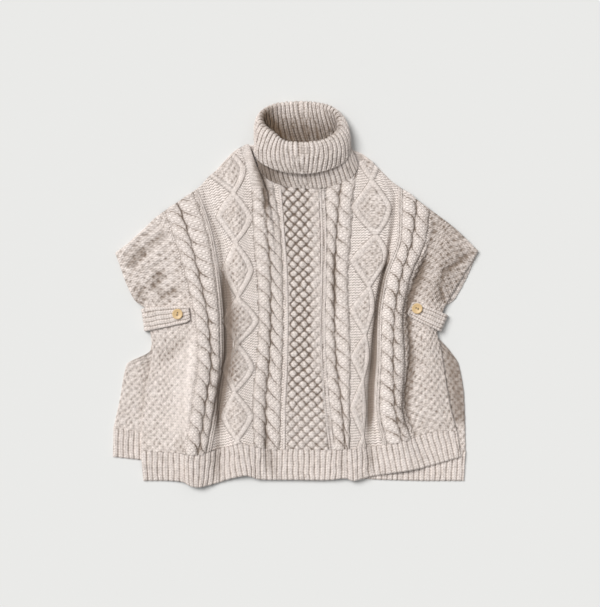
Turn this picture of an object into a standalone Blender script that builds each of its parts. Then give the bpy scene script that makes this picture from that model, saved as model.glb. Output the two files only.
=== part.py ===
"""Knitted poncho sweater, laid flat on a surface with its front up.

Frame: metres, +X to the right as seen from above with the collar away from the viewer, +Y
towards the collar, +Z up. The origin is under the middle of the garment, on the surface.

Two wide knitted panels lie on each other, each finished by a ribbed hem. The front panel
is folded into soft ridges and two deep creases that run down its length. A ribbed roll
collar stands open at the top, and a buttoned tab holds each pair of side edges together.
"""
import math
from collections import namedtuple

import bmesh
import bpy
import numpy as np
from mathutils import Vector
from mathutils.bvhtree import BVHTree

MM = 0.001

# Cloth and gaps
PANEL_WALL = 4.5 * MM
COLLAR_WALL = 5.0 * MM
TAB_WALL = 4.0 * MM
SEAM_GAP = 0.3 * MM
LAY_GAP = 0.6 * MM
LAY_REACH = 6.0 * MM

# Resolution of the faceted walls
PANEL_ROWS = 18
HEM_ROWS = 4
BACK_ROWS = 18
FRONT_COLUMN = 27 * MM
FRONT_COLUMN_AT_NECK = 10 * MM
BACK_COLUMN = 75 * MM

# The front hem lies on the back's hem and comes down to the surface beyond it.
HEM_REST = 2 * PANEL_WALL + 0.5 * MM
HEM_DROP = PANEL_WALL + 0.1 * MM
HEM_CLEARANCE = 9 * MM
HEM_DESCENT = 16 * MM
COLLAR_SIDES = 44
COLLAR_STEPS = 14

# Buttons
BUTTON_RADIUS = 10.5 * MM
BUTTON_HEIGHT = 4.2 * MM
BUTTON_EDGE = 1.1 * MM
BUTTON_DISH_RADIUS = 6.2 * MM
BUTTON_DISH_DEPTH = 0.9 * MM
BUTTON_HOLE_RADIUS = 1.15 * MM
BUTTON_HOLE_OFFSET = 2.3 * MM
BUTTON_SIDES = 40

# Each wale is a guide line that runs up a panel. Its x is given at the hem edge, at the
# joint of hem and panel, at the heights LEVELS up the panel, or EDGE_LEVELS on a side edge,
# and at its top end, which lies on a shoulder or on the neckline. Its heights above the
# surface, to the top of the cloth, are given at the hem edge and at the shares
# HEIGHT_STATIONS of the panel's length. All of it is in millimetres.
LEVELS = (-210, -110, -60, -10, 90, 190)
EDGE_LEVELS = (-210, -110, -75, -32, -10)
HEIGHT_STATIONS = (0.0, 0.30, 0.60, 0.88, 1.0)
Wale = namedtuple("Wale", "name hem joint x top hem_height heights")
FRONT_WALES = (
    Wale("edge_left", (-305, -373), (-310, -313), (-303, -287, -291, -298, -323), (-361, 83),
         5, (9.6, 9.6, 9.6, 9.6, 9.5)),
    Wale("moss_left", (-271, -373), (-271, -315), (-269, -259, -264, -275, -305), (-325, 111),
         5, (13, 14, 12, 12, 9.5)),
    Wale("rope_left_start", (-229, -375), (-229, -318), (-229, -221, -216, -213, -235), (-279, 155),
         8, (18, 20, 17, 14, 9.5)),
    Wale("crest_left", (-211, -383), (-211, -320), (-207, -195, -194, -197, -219), (-257, 171),
         15, (26, 28, 23, 16, 9.5)),
    Wale("groove_left", (-195, -386), (-192, -320), (-179, -168, -173, -181, -204), (-235, 186),
         15, (24, 25, 23, 17, 9.5)),
    Wale("rope_left_end", (-173, -382), (-165, -311), (-161, -149, -150, -153, -165, -188),
         (-197, 212), 10, (17, 20, 19, 16, 9.5)),
    Wale("crease_left", (-155, -377), (-151, -307), (-154, -139, -139, -139, -149, -181),
         (-187, 221), 7, (10.5, 9.6, 10, 12, 9.5)),
    Wale("diamond_left_start", (-137, -371), (-139, -305), (-145, -127, -127, -129, -141, -169),
         (-175, 235), 9, (14, 14, 14, 14, 9.5)),
    Wale("diamond_left_middle", (-99, -363), (-109, -297), (-119, -123, -118, -111, -113, -125),
         (-139, 264), 14, (22, 24, 22, 17, 9.5)),
    Wale("inner_left_start", (-73, -370), (-71, -307), (-83, -79, -76, -75, -87, -99),
         (-111, 293), 11, (17, 20, 20, 18, 10)),
    Wale("inner_left_groove", (-51, -371), (-55, -309), (-58, -52, -50, -49, -53, -61),
         (-95, 301), 9.6, (12, 17, 20, 24, 15)),
    Wale("hollow_left", (-39, -371), (-39, -311), (-43, -37, -36, -35, -39, -52),
         (-77.5, 251), 9.6, (11.5, 16, 18.5, 14, 14)),
    Wale("rib_left", (-25, -371), (-23, -310), (-29, -21, -20, -20, -24, -30),
         (-50, 223), 9.6, (13, 16.5, 19, 15, 15)),
    Wale("honeycomb_start", (-13, -371), (-13, -309), (-15, -11, -11, -11, -15, -19),
         (-25, 209), 9.6, (14, 17, 19, 15, 16)),
    Wale("honeycomb_end", (51, -372), (51, -311), (47, 45, 45, 45, 45, 41),
         (41, 206), 9.6, (15, 17, 19, 16, 16)),
    Wale("inner_right_start", (71, -371), (75, -311), (62, 53, 53, 53, 55, 55),
         (61, 209), 10.5, (16, 17.5, 19, 18, 16)),
    Wale("inner_right_groove", (99, -368), (99, -309), (89, 81, 79, 77, 77, 87),
         (98, 228), 12, (18, 19, 20, 20, 15)),
    Wale("inner_right_end", (115, -373), (111, -309), (109, 111, 108, 105, 105, 118),
         (129, 266), 14, (20, 22, 21, 19, 12)),
    Wale("diamond_right_middle", (133, -369), (131, -307), (135, 145, 147, 149, 153, 153),
         (145, 272), 13, (17, 20, 20, 18, 9.5)),
    Wale("diamond_right_end", (147, -365), (141, -305), (141, 151, 156, 161, 181, 189),
         (171, 247), 11, (14, 16, 17, 16, 9.5)),
    Wale("crease_right", (157, -363), (149, -304), (150, 157, 162, 166, 187, 199),
         (183, 235), 10, (10.5, 9.6, 9.8, 12, 9.5)),
    Wale("rope_right_start", (185, -359), (175, -301), (163, 165, 168, 171, 195, 209),
         (195, 225), 12, (15, 17, 17, 15, 9.5)),
    Wale("groove_right", (225, -353), (213, -294), (197, 195, 197, 201, 225, 237),
         (229, 201), 14, (20, 24, 23, 18, 9.5)),
    Wale("rope_right_end", (251, -348), (233, -288), (215, 223, 219, 217, 257), (265, 174),
         12, (16, 17, 18, 17, 9.5)),
    Wale("valley_right", (265, -344), (243, -285), (221, 233, 229, 231, 267), (285, 159),
         10, (12, 10, 11, 12, 9.5)),
    Wale("moss_right", (301, -334), (285, -273), (269, 265, 263, 271, 303), (319, 133),
         10, (13, 16, 17, 15, 9.5)),
    Wale("edge_right", (331, -325), (323, -273), (308, 292, 284, 296, 308), (366, 87),
         9.6, (9.6, 9.6, 9.8, 9.8, 9.5)),
)

# The back panel lies flat, so its guide lines have no heights of their own.
BACK_LEVELS = (-210, -140, -112, -75, -32, -10)
BackWale = namedtuple("BackWale", "name hem joint x top")
BACK_WALES = (
    BackWale("edge_left", (-366, -325), (-365, -269), (-352, -338, -291, -286, -291, -318), (-357, 82)),
    BackWale("side_left", (-313, -331), (-313, -275), (-300, -285, -262, -262, -266, -275), (-301, 134)),
    BackWale("middle_left", (-191, -343), (-191, -285), (-190, -190, -190, -190, -190, -190), (-191, 215)),
    BackWale("neck_left", (-67, -355), (-67, -297), (-72, -76, -78, -80, -83, -84), (-95, 299)),
    BackWale("middle", (9, -361), (9, -303), (9, 9, 9, 9, 9, 9), (9, 295)),
    BackWale("neck_right", (177, -371), (177, -313), (160, 150, 145, 140, 134, 130), (113, 289)),
    BackWale("middle_right", (259, -373), (259, -315), (248, 240, 232, 224, 225, 226), (209, 213)),
    BackWale("edge_right", (337, -373), (341, -315), (338, 327, 309, 281, 290, 318), (366, 86)),
)

# Each ring of the roll collar is a tilted oval through the middle of its wall, from the
# neck seam up the stand, over the rolled rim and down the fold. In millimetres.
Ring = namedtuple("Ring", "name centre_x half_width y_front y_back z_front z_back squareness")
COLLAR_RINGS = (
    Ring("neck_seam", 26, 96, 212, 297, 14, 7.6, 2.0),
    Ring("stand_middle", 16, 90, 249, 333, 26, 8.4, 2.2),
    Ring("stand_top", 9, 81, 287, 369, 37.5, 9.2, 2.4),
    Ring("rim_inside", 8, 78.5, 297, 379, 41.5, 9.0, 2.45),
    Ring("rim_crest", 8, 82, 299, 383.5, 45.5, 5.8, 2.45),
    Ring("rim_outside", 9, 89, 291, 378, 46.5, 2.7, 2.45),
    Ring("fold_middle", 10, 95.5, 268, 358, 43, 2.6, 2.2),
    Ring("fold_edge", 12, 94, 242, 326, 36, 2.6, 1.85),
)
NECKLINE_FRONT_CLEARANCE = 1.4 * MM
NECKLINE_SIDE_CLEARANCE = 4.8 * MM

# Each tab is a strap whose tip lies on the front panel beside the button. Its outer end
# turns down round the side edges. Points are in millimetres, on the middle of the strap.
Tab = namedtuple("Tab", "name tip outer tip_width outer_width button")
TABS = (
    Tab("left", (-211, -38), (-298, -50), 33, 46, (-235, -39)),
    Tab("right", (228, -27), (291, -55), 32, 36, (243, -28)),
)
TAB_STEPS = 10
TAB_ACROSS = 4
TAB_TIP_ROUND = 0.14
TAB_TIP_WIDTH_SHARE = 0.72
TAB_BEND_STEPS = 4
TAB_FOOT = 1.2 * MM
TAB_BEND_HEIGHT = 6.5 * MM
TAB_BEND_REACH = 3.9 * MM

WOOL = (0.62, 0.57, 0.52)
WOOD = (0.66, 0.52, 0.34)


def clear_scene():
    """Remove whatever the scene holds."""
    for old in list(bpy.data.objects):
        bpy.data.objects.remove(old, do_unlink=True)


def make_material(name, colour, roughness):
    """Return a plain Principled material."""
    material = bpy.data.materials.new(name)
    material.use_nodes = True
    shader = material.node_tree.nodes["Principled BSDF"]
    shader.inputs["Base Color"].default_value = (*colour, 1.0)
    shader.inputs["Roughness"].default_value = roughness
    shader.inputs["Metallic"].default_value = 0.0
    return material


def monotone_curve(knots, values, at):
    """Interpolate each column of values smoothly, with no overshoot between the knots."""
    knots = np.asarray(knots, float)
    values = np.asarray(values, float)
    if values.ndim == 1:
        return monotone_curve(knots, values[:, None], at)[:, 0]
    steps = np.diff(knots)[:, None]
    slopes = np.diff(values, axis=0) / steps
    tangents = np.zeros_like(values)
    tangents[0] = slopes[0]
    tangents[-1] = slopes[-1]
    before, after = slopes[:-1], slopes[1:]
    same_way = before * after > 0
    total = np.where(same_way, before + after, 1.0)
    tangents[1:-1] = np.where(same_way, 2.0 * before * after / total, 0.0)
    at = np.atleast_1d(np.asarray(at, float))
    span = np.clip(np.searchsorted(knots, at, side="right") - 1, 0, len(knots) - 2)
    width = steps[span]
    t = ((at - knots[span])[:, None]) / width
    start = values[span] * (2 * t**3 - 3 * t**2 + 1) + tangents[span] * width * (t**3 - 2 * t**2 + t)
    end = values[span + 1] * (3 * t**2 - 2 * t**3) + tangents[span + 1] * width * (t**3 - t**2)
    return start + end


def wale_x(wale, levels, heights_y):
    """Return the wale's x at the given places up the panel, in millimetres."""
    if wale.name in ("edge_left", "edge_right") and levels is LEVELS:
        levels = EDGE_LEVELS
    count = len(wale.x)
    knots = [wale.joint[1], *levels[:count], wale.top[1]]
    values = [wale.joint[0], *wale.x, wale.top[0]]
    return monotone_curve(knots, values, heights_y)


def column_places(rows, widest, widest_at_neck=None):
    """Return where columns go between the guide lines, so that none is too wide."""
    rows = np.asarray(rows)
    widths = np.abs(np.diff(rows[:, :, 0], axis=0)).max(axis=1) / widest
    if widest_at_neck:
        ends = rows[:, -1, :2]
        spans = np.linalg.norm(np.diff(ends, axis=0), axis=1)
        seam = COLLAR_RINGS[0]
        middle = (ends[1:, 0] + ends[:-1, 0]) / 2
        at_neck = np.abs(middle - seam.centre_x * MM) < seam.half_width * MM
        widths = np.where(at_neck, np.maximum(widths, spans / widest_at_neck), widths)
    places = [0.0]
    for index, width in enumerate(widths):
        parts = max(1, math.ceil(width))
        places.extend(index + (part + 1) / parts for part in range(parts))
    return places


def spread_columns(rows, places):
    """Fill in columns between the guide lines at the given places."""
    rows = np.asarray(rows)
    columns, count, size = rows.shape
    flat = monotone_curve(range(columns), rows.reshape(columns, -1), places)
    return flat.reshape(len(places), count, size)


def back_hem_line(x):
    """Return how far down the back panel's hem reaches at x, in metres."""
    knots = [wale.hem[0] * MM for wale in BACK_WALES]
    values = [wale.hem[1] * MM for wale in BACK_WALES]
    return np.interp(x, knots, values)


def front_surface():
    """Return the top points of the front panel and of its hem, as columns of rows."""
    panel = []
    hem = []
    for wale in FRONT_WALES:
        share = np.linspace(0.0, 1.0, PANEL_ROWS + 1)
        y = wale.joint[1] + (wale.top[1] - wale.joint[1]) * share
        x = wale_x(wale, LEVELS, y)
        z = monotone_curve(HEIGHT_STATIONS, wale.heights, share)
        panel.append(np.stack([x, y, z], axis=1) * MM)
        share = np.linspace(0.0, 1.0, HEM_ROWS + 1)[:, None]
        start = np.array([*wale.hem, wale.hem_height], float)
        end = np.array([*wale.joint, wale.heights[0]], float)
        hem.append((start + (end - start) * share) * MM)
    places = column_places(panel, FRONT_COLUMN, FRONT_COLUMN_AT_NECK)
    return fit_neckline(spread_columns(panel, places)), rest_hem(spread_columns(hem, places))


def neckline(x):
    """Return the y of the front neckline at x, or None beyond its ends, in metres."""
    seam = COLLAR_RINGS[0]
    half_width = seam.half_width * MM
    half_depth = (seam.y_back - seam.y_front) / 2 * MM
    turn = np.linspace(math.pi, 2 * math.pi, 181)
    outward = np.stack([half_depth * np.cos(turn), half_width * np.sin(turn)])
    outward /= np.linalg.norm(outward, axis=0)
    more = NECKLINE_SIDE_CLEARANCE - NECKLINE_FRONT_CLEARANCE
    clearance = NECKLINE_FRONT_CLEARANCE + more * np.abs(outward[0])
    line_x = seam.centre_x * MM + half_width * np.cos(turn) + outward[0] * clearance
    line_y = (seam.y_back + seam.y_front) / 2 * MM + half_depth * np.sin(turn) + outward[1] * clearance
    if not line_x[0] < x < line_x[-1]:
        return None
    return np.interp(x, line_x, line_y)


def fit_neckline(panel):
    """End the wales below the collar on the neckline, easing the cloth under it."""
    share = np.linspace(0.0, 1.0, PANEL_ROWS + 1) ** 4
    for column in panel:
        end = neckline(column[-1, 0])
        if end is not None:
            column[:, 1] += (end - column[-1, 1]) * share
    return panel


def rest_hem(hem):
    """Keep the hem above the back panel, and let it down to the surface beyond it."""
    beyond = back_hem_line(hem[:, :, 0]) - HEM_CLEARANCE - hem[:, :, 1]
    drop = np.clip(beyond / HEM_DESCENT, 0.0, 1.0)
    drop = drop * drop * (3 - 2 * drop)
    hem[:, :, 2] = np.maximum(hem[:, :, 2], HEM_REST - drop * HEM_DROP)
    return hem


def back_surface():
    """Return the top points of the back panel and of its hem."""
    panel = []
    hem = []
    for wale in BACK_WALES:
        share = np.linspace(0.0, 1.0, BACK_ROWS + 1)
        y = wale.joint[1] + (wale.top[1] - wale.joint[1]) * share
        x = wale_x(wale, BACK_LEVELS, y)
        panel.append(np.stack([x * MM, y * MM, np.full_like(x, PANEL_WALL)], axis=1))
        hem.append(np.array([(*wale.hem, 0.0), (*wale.joint, 0.0)]) * MM + (0, 0, PANEL_WALL))
    places = column_places(panel, BACK_COLUMN)
    return spread_columns(panel, places), spread_columns(hem, places)


def trim_joint(hem):
    """Shorten a hem by the seam gap where it meets its panel."""
    hem = hem.copy()
    last = hem[:, -1] - hem[:, -2]
    hem[:, -1] -= last / np.linalg.norm(last, axis=1)[:, None] * SEAM_GAP
    return hem


def wall_object(name, top, bottom, material, wrap=False):
    """Build a closed wall between two grids of points, open or wrapped round a ring."""
    columns, rows, _ = top.shape
    mesh = bpy.data.meshes.new(name)
    shape = bmesh.new()
    upper = [[shape.verts.new(top[i, j]) for j in range(rows)] for i in range(columns)]
    lower = [[shape.verts.new(bottom[i, j]) for j in range(rows)] for i in range(columns)]
    across = columns if wrap else columns - 1
    for i in range(across):
        k = (i + 1) % columns
        for j in range(rows - 1):
            shape.faces.new((upper[i][j], upper[k][j], upper[k][j + 1], upper[i][j + 1]))
            shape.faces.new((lower[i][j], lower[i][j + 1], lower[k][j + 1], lower[k][j]))
        shape.faces.new((upper[k][0], upper[i][0], lower[i][0], lower[k][0]))
        shape.faces.new((upper[i][-1], upper[k][-1], lower[k][-1], lower[i][-1]))
    if not wrap:
        for j in range(rows - 1):
            shape.faces.new((upper[0][j], upper[0][j + 1], lower[0][j + 1], lower[0][j]))
            shape.faces.new((upper[-1][j + 1], upper[-1][j], lower[-1][j], lower[-1][j + 1]))
    bmesh.ops.triangulate(shape, faces=shape.faces[:], quad_method="SHORT_EDGE")
    bmesh.ops.recalc_face_normals(shape, faces=shape.faces[:])
    shape.to_mesh(mesh)
    shape.free()
    return finish_object(name, mesh, material)


def finish_object(name, mesh, material):
    """Put a mesh in the scene as a smooth shaded object with its material."""
    mesh.materials.append(material)
    mesh.shade_smooth()
    mesh.set_sharp_from_angle(angle=math.radians(50))
    made = bpy.data.objects.new(name, mesh)
    bpy.context.scene.collection.objects.link(made)
    return made


def lowered(top, depth):
    """Return the grid moved straight down by depth."""
    bottom = top.copy()
    bottom[:, :, 2] -= depth
    return bottom


def build_front(material):
    """Build the front panel and its ribbed hem, and return the panel's top points."""
    panel, hem = front_surface()
    wall_object("front_panel", panel, lowered(panel, PANEL_WALL), material)
    hem = trim_joint(hem)
    wall_object("front_hem_rib", hem, lowered(hem, PANEL_WALL), material)
    return panel


def build_back(material):
    """Build the back panel and its ribbed hem, flat on the surface."""
    panel, hem = back_surface()
    wall_object("back_panel", panel, lowered(panel, PANEL_WALL), material)
    hem = trim_joint(hem)
    wall_object("back_hem_rib", hem, lowered(hem, PANEL_WALL), material)


def collar_middle():
    """Return the middle of the collar's wall: sides round it, steps from seam to fold."""
    table = np.array([ring[1:] for ring in COLLAR_RINGS], float)
    knots = np.arange(len(COLLAR_RINGS))
    steps = monotone_curve(knots, table, np.linspace(0, knots[-1], COLLAR_STEPS))
    turn = np.arange(COLLAR_SIDES) * 2 * math.pi / COLLAR_SIDES
    centre_x, half_width, y_front, y_back, z_front, z_back, squareness = steps.T
    power = 2.0 / squareness
    across = np.sign(np.cos(turn))[:, None] * np.abs(np.cos(turn))[:, None] ** power
    along = np.sign(np.sin(turn))[:, None] * np.abs(np.sin(turn))[:, None] ** power
    x = centre_x + across * half_width
    y = (y_front + y_back) / 2 + along * (y_back - y_front) / 2
    z = (z_front + z_back) / 2 + along * (z_back - z_front) / 2
    return np.stack([x, y, z], axis=2) * MM


def grid_normals(points):
    """Return unit normals of a grid that closes on itself from column to column."""
    across = np.roll(points, -1, axis=0) - np.roll(points, 1, axis=0)
    along = np.gradient(points, axis=1)
    normals = np.cross(across, along)
    return normals / np.linalg.norm(normals, axis=2)[:, :, None]


def build_collar(material):
    """Build the roll collar as one wall from the neck seam to the free edge of its fold."""
    middle = collar_middle()
    offset = grid_normals(middle) * COLLAR_WALL / 2
    return wall_object("roll_collar", middle + offset, middle - offset, material, wrap=True)


def height_finder(panel):
    """Return a function that gives the height of the cloth's top at a place."""
    columns, rows, _ = panel.shape
    points = [Vector(point) for point in panel.reshape(-1, 3)]
    faces = []
    for i in range(columns - 1):
        for j in range(rows - 1):
            a = i * rows + j
            faces.append((a, a + rows, a + rows + 1, a + 1))
    tree = BVHTree.FromPolygons(points, faces)

    def height(x, y):
        found = [2 * PANEL_WALL + SEAM_GAP]
        for aside in (-LAY_REACH, 0.0, LAY_REACH):
            for along in (-LAY_REACH, 0.0, LAY_REACH):
                hit = tree.ray_cast(Vector((x + aside, y + along, 1.0)), Vector((0, 0, -1)))[0]
                if hit:
                    found.append(hit.z)
        return max(found)

    return height


def tab_stations(tab):
    """Return the places along the strap, with its sideways direction and its width."""
    tip = Vector((*tab.tip, 0)) * MM
    outer = Vector((*tab.outer, 0)) * MM
    way = (outer - tip).normalized()
    side = Vector((-way.y, way.x, 0))
    stations = []
    for step in range(TAB_STEPS + 1):
        share = step / TAB_STEPS
        place = tip.lerp(outer, share)
        width = (tab.tip_width + (tab.outer_width - tab.tip_width) * share) * MM
        if share < TAB_TIP_ROUND:
            rounding = math.sin(share / TAB_TIP_ROUND * math.pi / 2)
            width *= TAB_TIP_WIDTH_SHARE + (1 - TAB_TIP_WIDTH_SHARE) * rounding
        stations.append((place, side, width))
    return way, stations


def tab_grid(tab, height):
    """Return the strap's lower points, and the direction in which it is thick at each."""
    way, stations = tab_stations(tab)
    low = []
    out = []
    for place, side, width in stations:
        row = []
        for across in range(TAB_ACROSS + 1):
            share = across / TAB_ACROSS - 0.5
            point = place + side * width * share
            point.z = height(point.x, point.y) + LAY_GAP
            row.append(point)
        low.append(row)
        out.append([Vector((0, 0, 1))] * len(row))
    rim = low[-1]
    for step in range(1, TAB_BEND_STEPS + 1):
        angle = step / TAB_BEND_STEPS * math.pi / 2
        drop = TAB_BEND_HEIGHT * (1 - math.cos(angle))
        reach = TAB_BEND_REACH * math.sin(angle)
        low.append([point + way * reach - Vector((0, 0, drop)) for point in rim])
        out.append([Vector((0, 0, 1)) * math.cos(angle) + way * math.sin(angle)] * len(rim))
    foot = [Vector((point.x, point.y, TAB_FOOT)) for point in low[-1]]
    low.append(foot)
    out.append([way] * len(rim))
    return low, out


def build_tab(tab, height, material):
    """Build one buttoned tab that lies on the front panel and turns round its edge."""
    low, out = tab_grid(tab, height)
    bottom = np.array([[tuple(point) for point in row] for row in low])
    thick = np.array([[tuple(way) for way in row] for row in out]) * TAB_WALL
    return wall_object(f"tab_{tab.name}", bottom + thick, bottom, material)


def turned_button():
    """Return a button's mesh, turned about Z with its back at z = 0 and a dished face."""
    profile = [
        (0.0, 0.0),
        (BUTTON_RADIUS - BUTTON_EDGE, 0.0),
        (BUTTON_RADIUS, BUTTON_EDGE),
        (BUTTON_RADIUS, BUTTON_HEIGHT - BUTTON_EDGE),
        (BUTTON_RADIUS - BUTTON_EDGE, BUTTON_HEIGHT),
        (BUTTON_DISH_RADIUS + BUTTON_EDGE, BUTTON_HEIGHT),
        (BUTTON_DISH_RADIUS - BUTTON_EDGE, BUTTON_HEIGHT - BUTTON_DISH_DEPTH),
        (0.0, BUTTON_HEIGHT - BUTTON_DISH_DEPTH),
    ]
    shape = bmesh.new()
    verts = [shape.verts.new((radius, 0.0, z)) for radius, z in profile]
    edges = [shape.edges.new(pair) for pair in zip(verts, verts[1:])]
    bmesh.ops.spin(shape, geom=verts + edges, axis=(0, 0, 1), cent=(0, 0, 0),
                   steps=BUTTON_SIDES, angle=2 * math.pi, use_merge=True)
    bmesh.ops.remove_doubles(shape, verts=shape.verts[:], dist=0.00001)
    bmesh.ops.recalc_face_normals(shape, faces=shape.faces[:])
    mesh = bpy.data.meshes.new("button")
    shape.to_mesh(mesh)
    shape.free()
    return mesh


def hole_cutter(name, offset, parent):
    """Return a hidden cylinder that drills one thread hole through a button."""
    mesh = bpy.data.meshes.new(name)
    shape = bmesh.new()
    bmesh.ops.create_cone(shape, cap_ends=True, segments=12, radius1=BUTTON_HOLE_RADIUS,
                          radius2=BUTTON_HOLE_RADIUS, depth=BUTTON_HEIGHT * 3)
    shape.to_mesh(mesh)
    shape.free()
    cutter = bpy.data.objects.new(name, mesh)
    cutter.location = (offset, 0.0, BUTTON_HEIGHT / 2)
    cutter.parent = parent
    cutter.hide_render = True
    cutter.display_type = "WIRE"
    bpy.context.scene.collection.objects.link(cutter)
    return cutter


def build_button(tab, tab_object, material):
    """Seat a button on its tab, tilted with the cloth under it."""
    x, y = (value * MM for value in tab.button)
    tree = BVHTree.FromObject(tab_object, bpy.context.evaluated_depsgraph_get())
    around = [(x, y)]
    for step in range(12):
        angle = step * math.pi / 6
        around.append((x + BUTTON_RADIUS * math.cos(angle), y + BUTTON_RADIUS * math.sin(angle)))
    hits = [tree.ray_cast(Vector((*place, 1.0)), Vector((0, 0, -1)))[0] for place in around]
    hits = np.array([tuple(hit) for hit in hits if hit is not None])
    plane = np.linalg.lstsq(np.c_[hits[:, :2], np.ones(len(hits))], hits[:, 2], rcond=None)[0]
    lift = (hits[:, 2] - np.c_[hits[:, :2], np.ones(len(hits))] @ plane).max()
    normal = Vector((-plane[0], -plane[1], 1.0)).normalized()
    button = finish_object(f"button_{tab.name}", turned_button(), material)
    button.rotation_mode = "QUATERNION"
    button.rotation_quaternion = normal.to_track_quat("Z", "Y")
    seat = plane[0] * x + plane[1] * y + plane[2] + lift + SEAM_GAP
    button.location = (x, y, seat)
    for number, offset in enumerate((-BUTTON_HOLE_OFFSET, BUTTON_HOLE_OFFSET)):
        cutter = hole_cutter(f"hole_{tab.name}_{number}", offset, button)
        drill = button.modifiers.new(f"hole_{number}", "BOOLEAN")
        drill.operation = "DIFFERENCE"
        drill.solver = "EXACT"
        drill.object = cutter
    return button


def main():
    """Build every piece of the garment."""
    clear_scene()
    knit = make_material("knit", WOOL, 0.95)
    wood = make_material("button_wood", WOOD, 0.5)
    build_back(knit)
    panel = build_front(knit)
    build_collar(knit)
    height = height_finder(panel)
    for tab in TABS:
        tab_object = build_tab(tab, height, knit)
        build_button(tab, tab_object, wood)


main()
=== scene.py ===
"""Looks of a cable knit poncho sweater that is laid flat with its front up.

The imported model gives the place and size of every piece. This script knits the surface of
each one: ropes, diamonds, honeycomb, moss and two by two rib stand out of thin closed
shells that follow the same lie of the cloth, and a bump of single stitches covers them.
"""

import logging
import math
from dataclasses import dataclass, field
from enum import Enum
from typing import Callable, Iterable, Optional, Sequence

import bmesh
import bpy
import numpy as np
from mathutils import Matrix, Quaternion, Vector
from mathutils.bvhtree import BVHTree

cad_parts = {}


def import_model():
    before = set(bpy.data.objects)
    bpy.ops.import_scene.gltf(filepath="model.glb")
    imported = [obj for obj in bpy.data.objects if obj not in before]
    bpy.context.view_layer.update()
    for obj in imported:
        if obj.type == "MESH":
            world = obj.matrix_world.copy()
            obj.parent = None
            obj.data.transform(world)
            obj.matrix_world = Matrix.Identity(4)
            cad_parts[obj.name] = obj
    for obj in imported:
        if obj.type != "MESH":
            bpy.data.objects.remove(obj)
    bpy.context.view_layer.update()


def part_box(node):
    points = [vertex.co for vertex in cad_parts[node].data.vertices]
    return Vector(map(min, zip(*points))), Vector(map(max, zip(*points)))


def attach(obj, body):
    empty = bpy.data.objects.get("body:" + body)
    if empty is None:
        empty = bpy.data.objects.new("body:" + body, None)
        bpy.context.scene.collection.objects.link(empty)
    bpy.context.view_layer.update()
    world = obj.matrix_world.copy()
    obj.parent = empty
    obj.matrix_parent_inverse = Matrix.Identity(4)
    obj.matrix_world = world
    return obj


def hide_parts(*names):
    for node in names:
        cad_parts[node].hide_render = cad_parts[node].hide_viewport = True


MM = 0.001
BODY = "root"

PANEL_WALL = 4.5 * MM
COLLAR_WALL = 5.0 * MM
TAB_WALL = 4.0 * MM
STITCH_WIDTH = 4.8
STITCH_HEIGHT = 5.2
UNDER_PURL = 0.5
# the even painted shade of the shells' undersides
UNDER_PAINTED_SHADE = 0.10
LAY_GAP = 0.6
EDGE_REACH = 3.5
EDGE_DROP = 2.0
JOINT_MARGIN = 1.5
FOLD_SHADE = 0.8
FINE_PER_LINE = 40
ROW_STRIDE = 8
NECKLINE_FRONT_GAP = 0.2
NECKLINE_SIDE_GAP = 1.8
BUTTON_TURNS = {"left": 80.0, "right": -26.0}

log = logging.getLogger("poncho")


class Hold(Enum):
    """How a sheet of cloth is held."""

    LAID = "laid"
    FOLDED = "folded"


class Slot(Enum):
    """The record's material slots."""

    PANEL = "panel_knit"
    RIB = "rib_knit"
    BUTTON = "button_wood"


# ---------------------------------------------------------------------------
# Curves and grids
# ---------------------------------------------------------------------------


def monotone_curve(knots: Sequence[float], values: np.ndarray, at: np.ndarray) -> np.ndarray:
    """Interpolate each column of values smoothly, with no overshoot between the knots.

    Args:
        knots: where the values are given, in rising order.
        values: one row for each knot.
        at: where values are wanted.

    Returns:
        One row for each place in at.
    """
    knots = np.asarray(knots, float)
    values = np.asarray(values, float)
    if values.ndim == 1:
        return monotone_curve(knots, values[:, None], at)[:, 0]
    steps = np.diff(knots)[:, None]
    slopes = np.diff(values, axis=0) / steps
    tangents = np.zeros_like(values)
    tangents[0] = slopes[0]
    tangents[-1] = slopes[-1]
    before, after = slopes[:-1], slopes[1:]
    same_way = before * after > 0
    total = np.where(same_way, before + after, 1.0)
    tangents[1:-1] = np.where(same_way, 2.0 * before * after / total, 0.0)
    at = np.atleast_1d(np.asarray(at, float))
    span = np.clip(np.searchsorted(knots, at, side="right") - 1, 0, len(knots) - 2)
    width = steps[span]
    t = ((at - knots[span])[:, None]) / width
    start = values[span] * (2 * t**3 - 3 * t**2 + 1) + tangents[span] * width * (t**3 - 2 * t**2 + t)
    end = values[span + 1] * (3 * t**2 - 2 * t**3) + tangents[span + 1] * width * (t**3 - t**2)
    return start + end


def ease(low: float, high: float, values: np.ndarray) -> np.ndarray:
    """Return 0 below low, 1 above high and a soft step between them."""
    share = np.clip((values - low) / (high - low), 0.0, 1.0)
    return share * share * (3.0 - 2.0 * share)


def grid_normals(points: np.ndarray, closed: bool = False) -> np.ndarray:
    """Return the unit normals of a grid of points.

    Args:
        points: columns by rows by three.
        closed: whether the last column is next to the first.

    Returns:
        Unit normals of the same shape.
    """
    if closed:
        across = np.roll(points, -1, axis=0) - np.roll(points, 1, axis=0)
    else:
        across = np.gradient(points, axis=0)
    along = np.gradient(points, axis=1)
    normals = np.cross(across, along)
    length = np.linalg.norm(normals, axis=2)[:, :, None]
    return normals / np.maximum(length, 1e-12)


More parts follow.
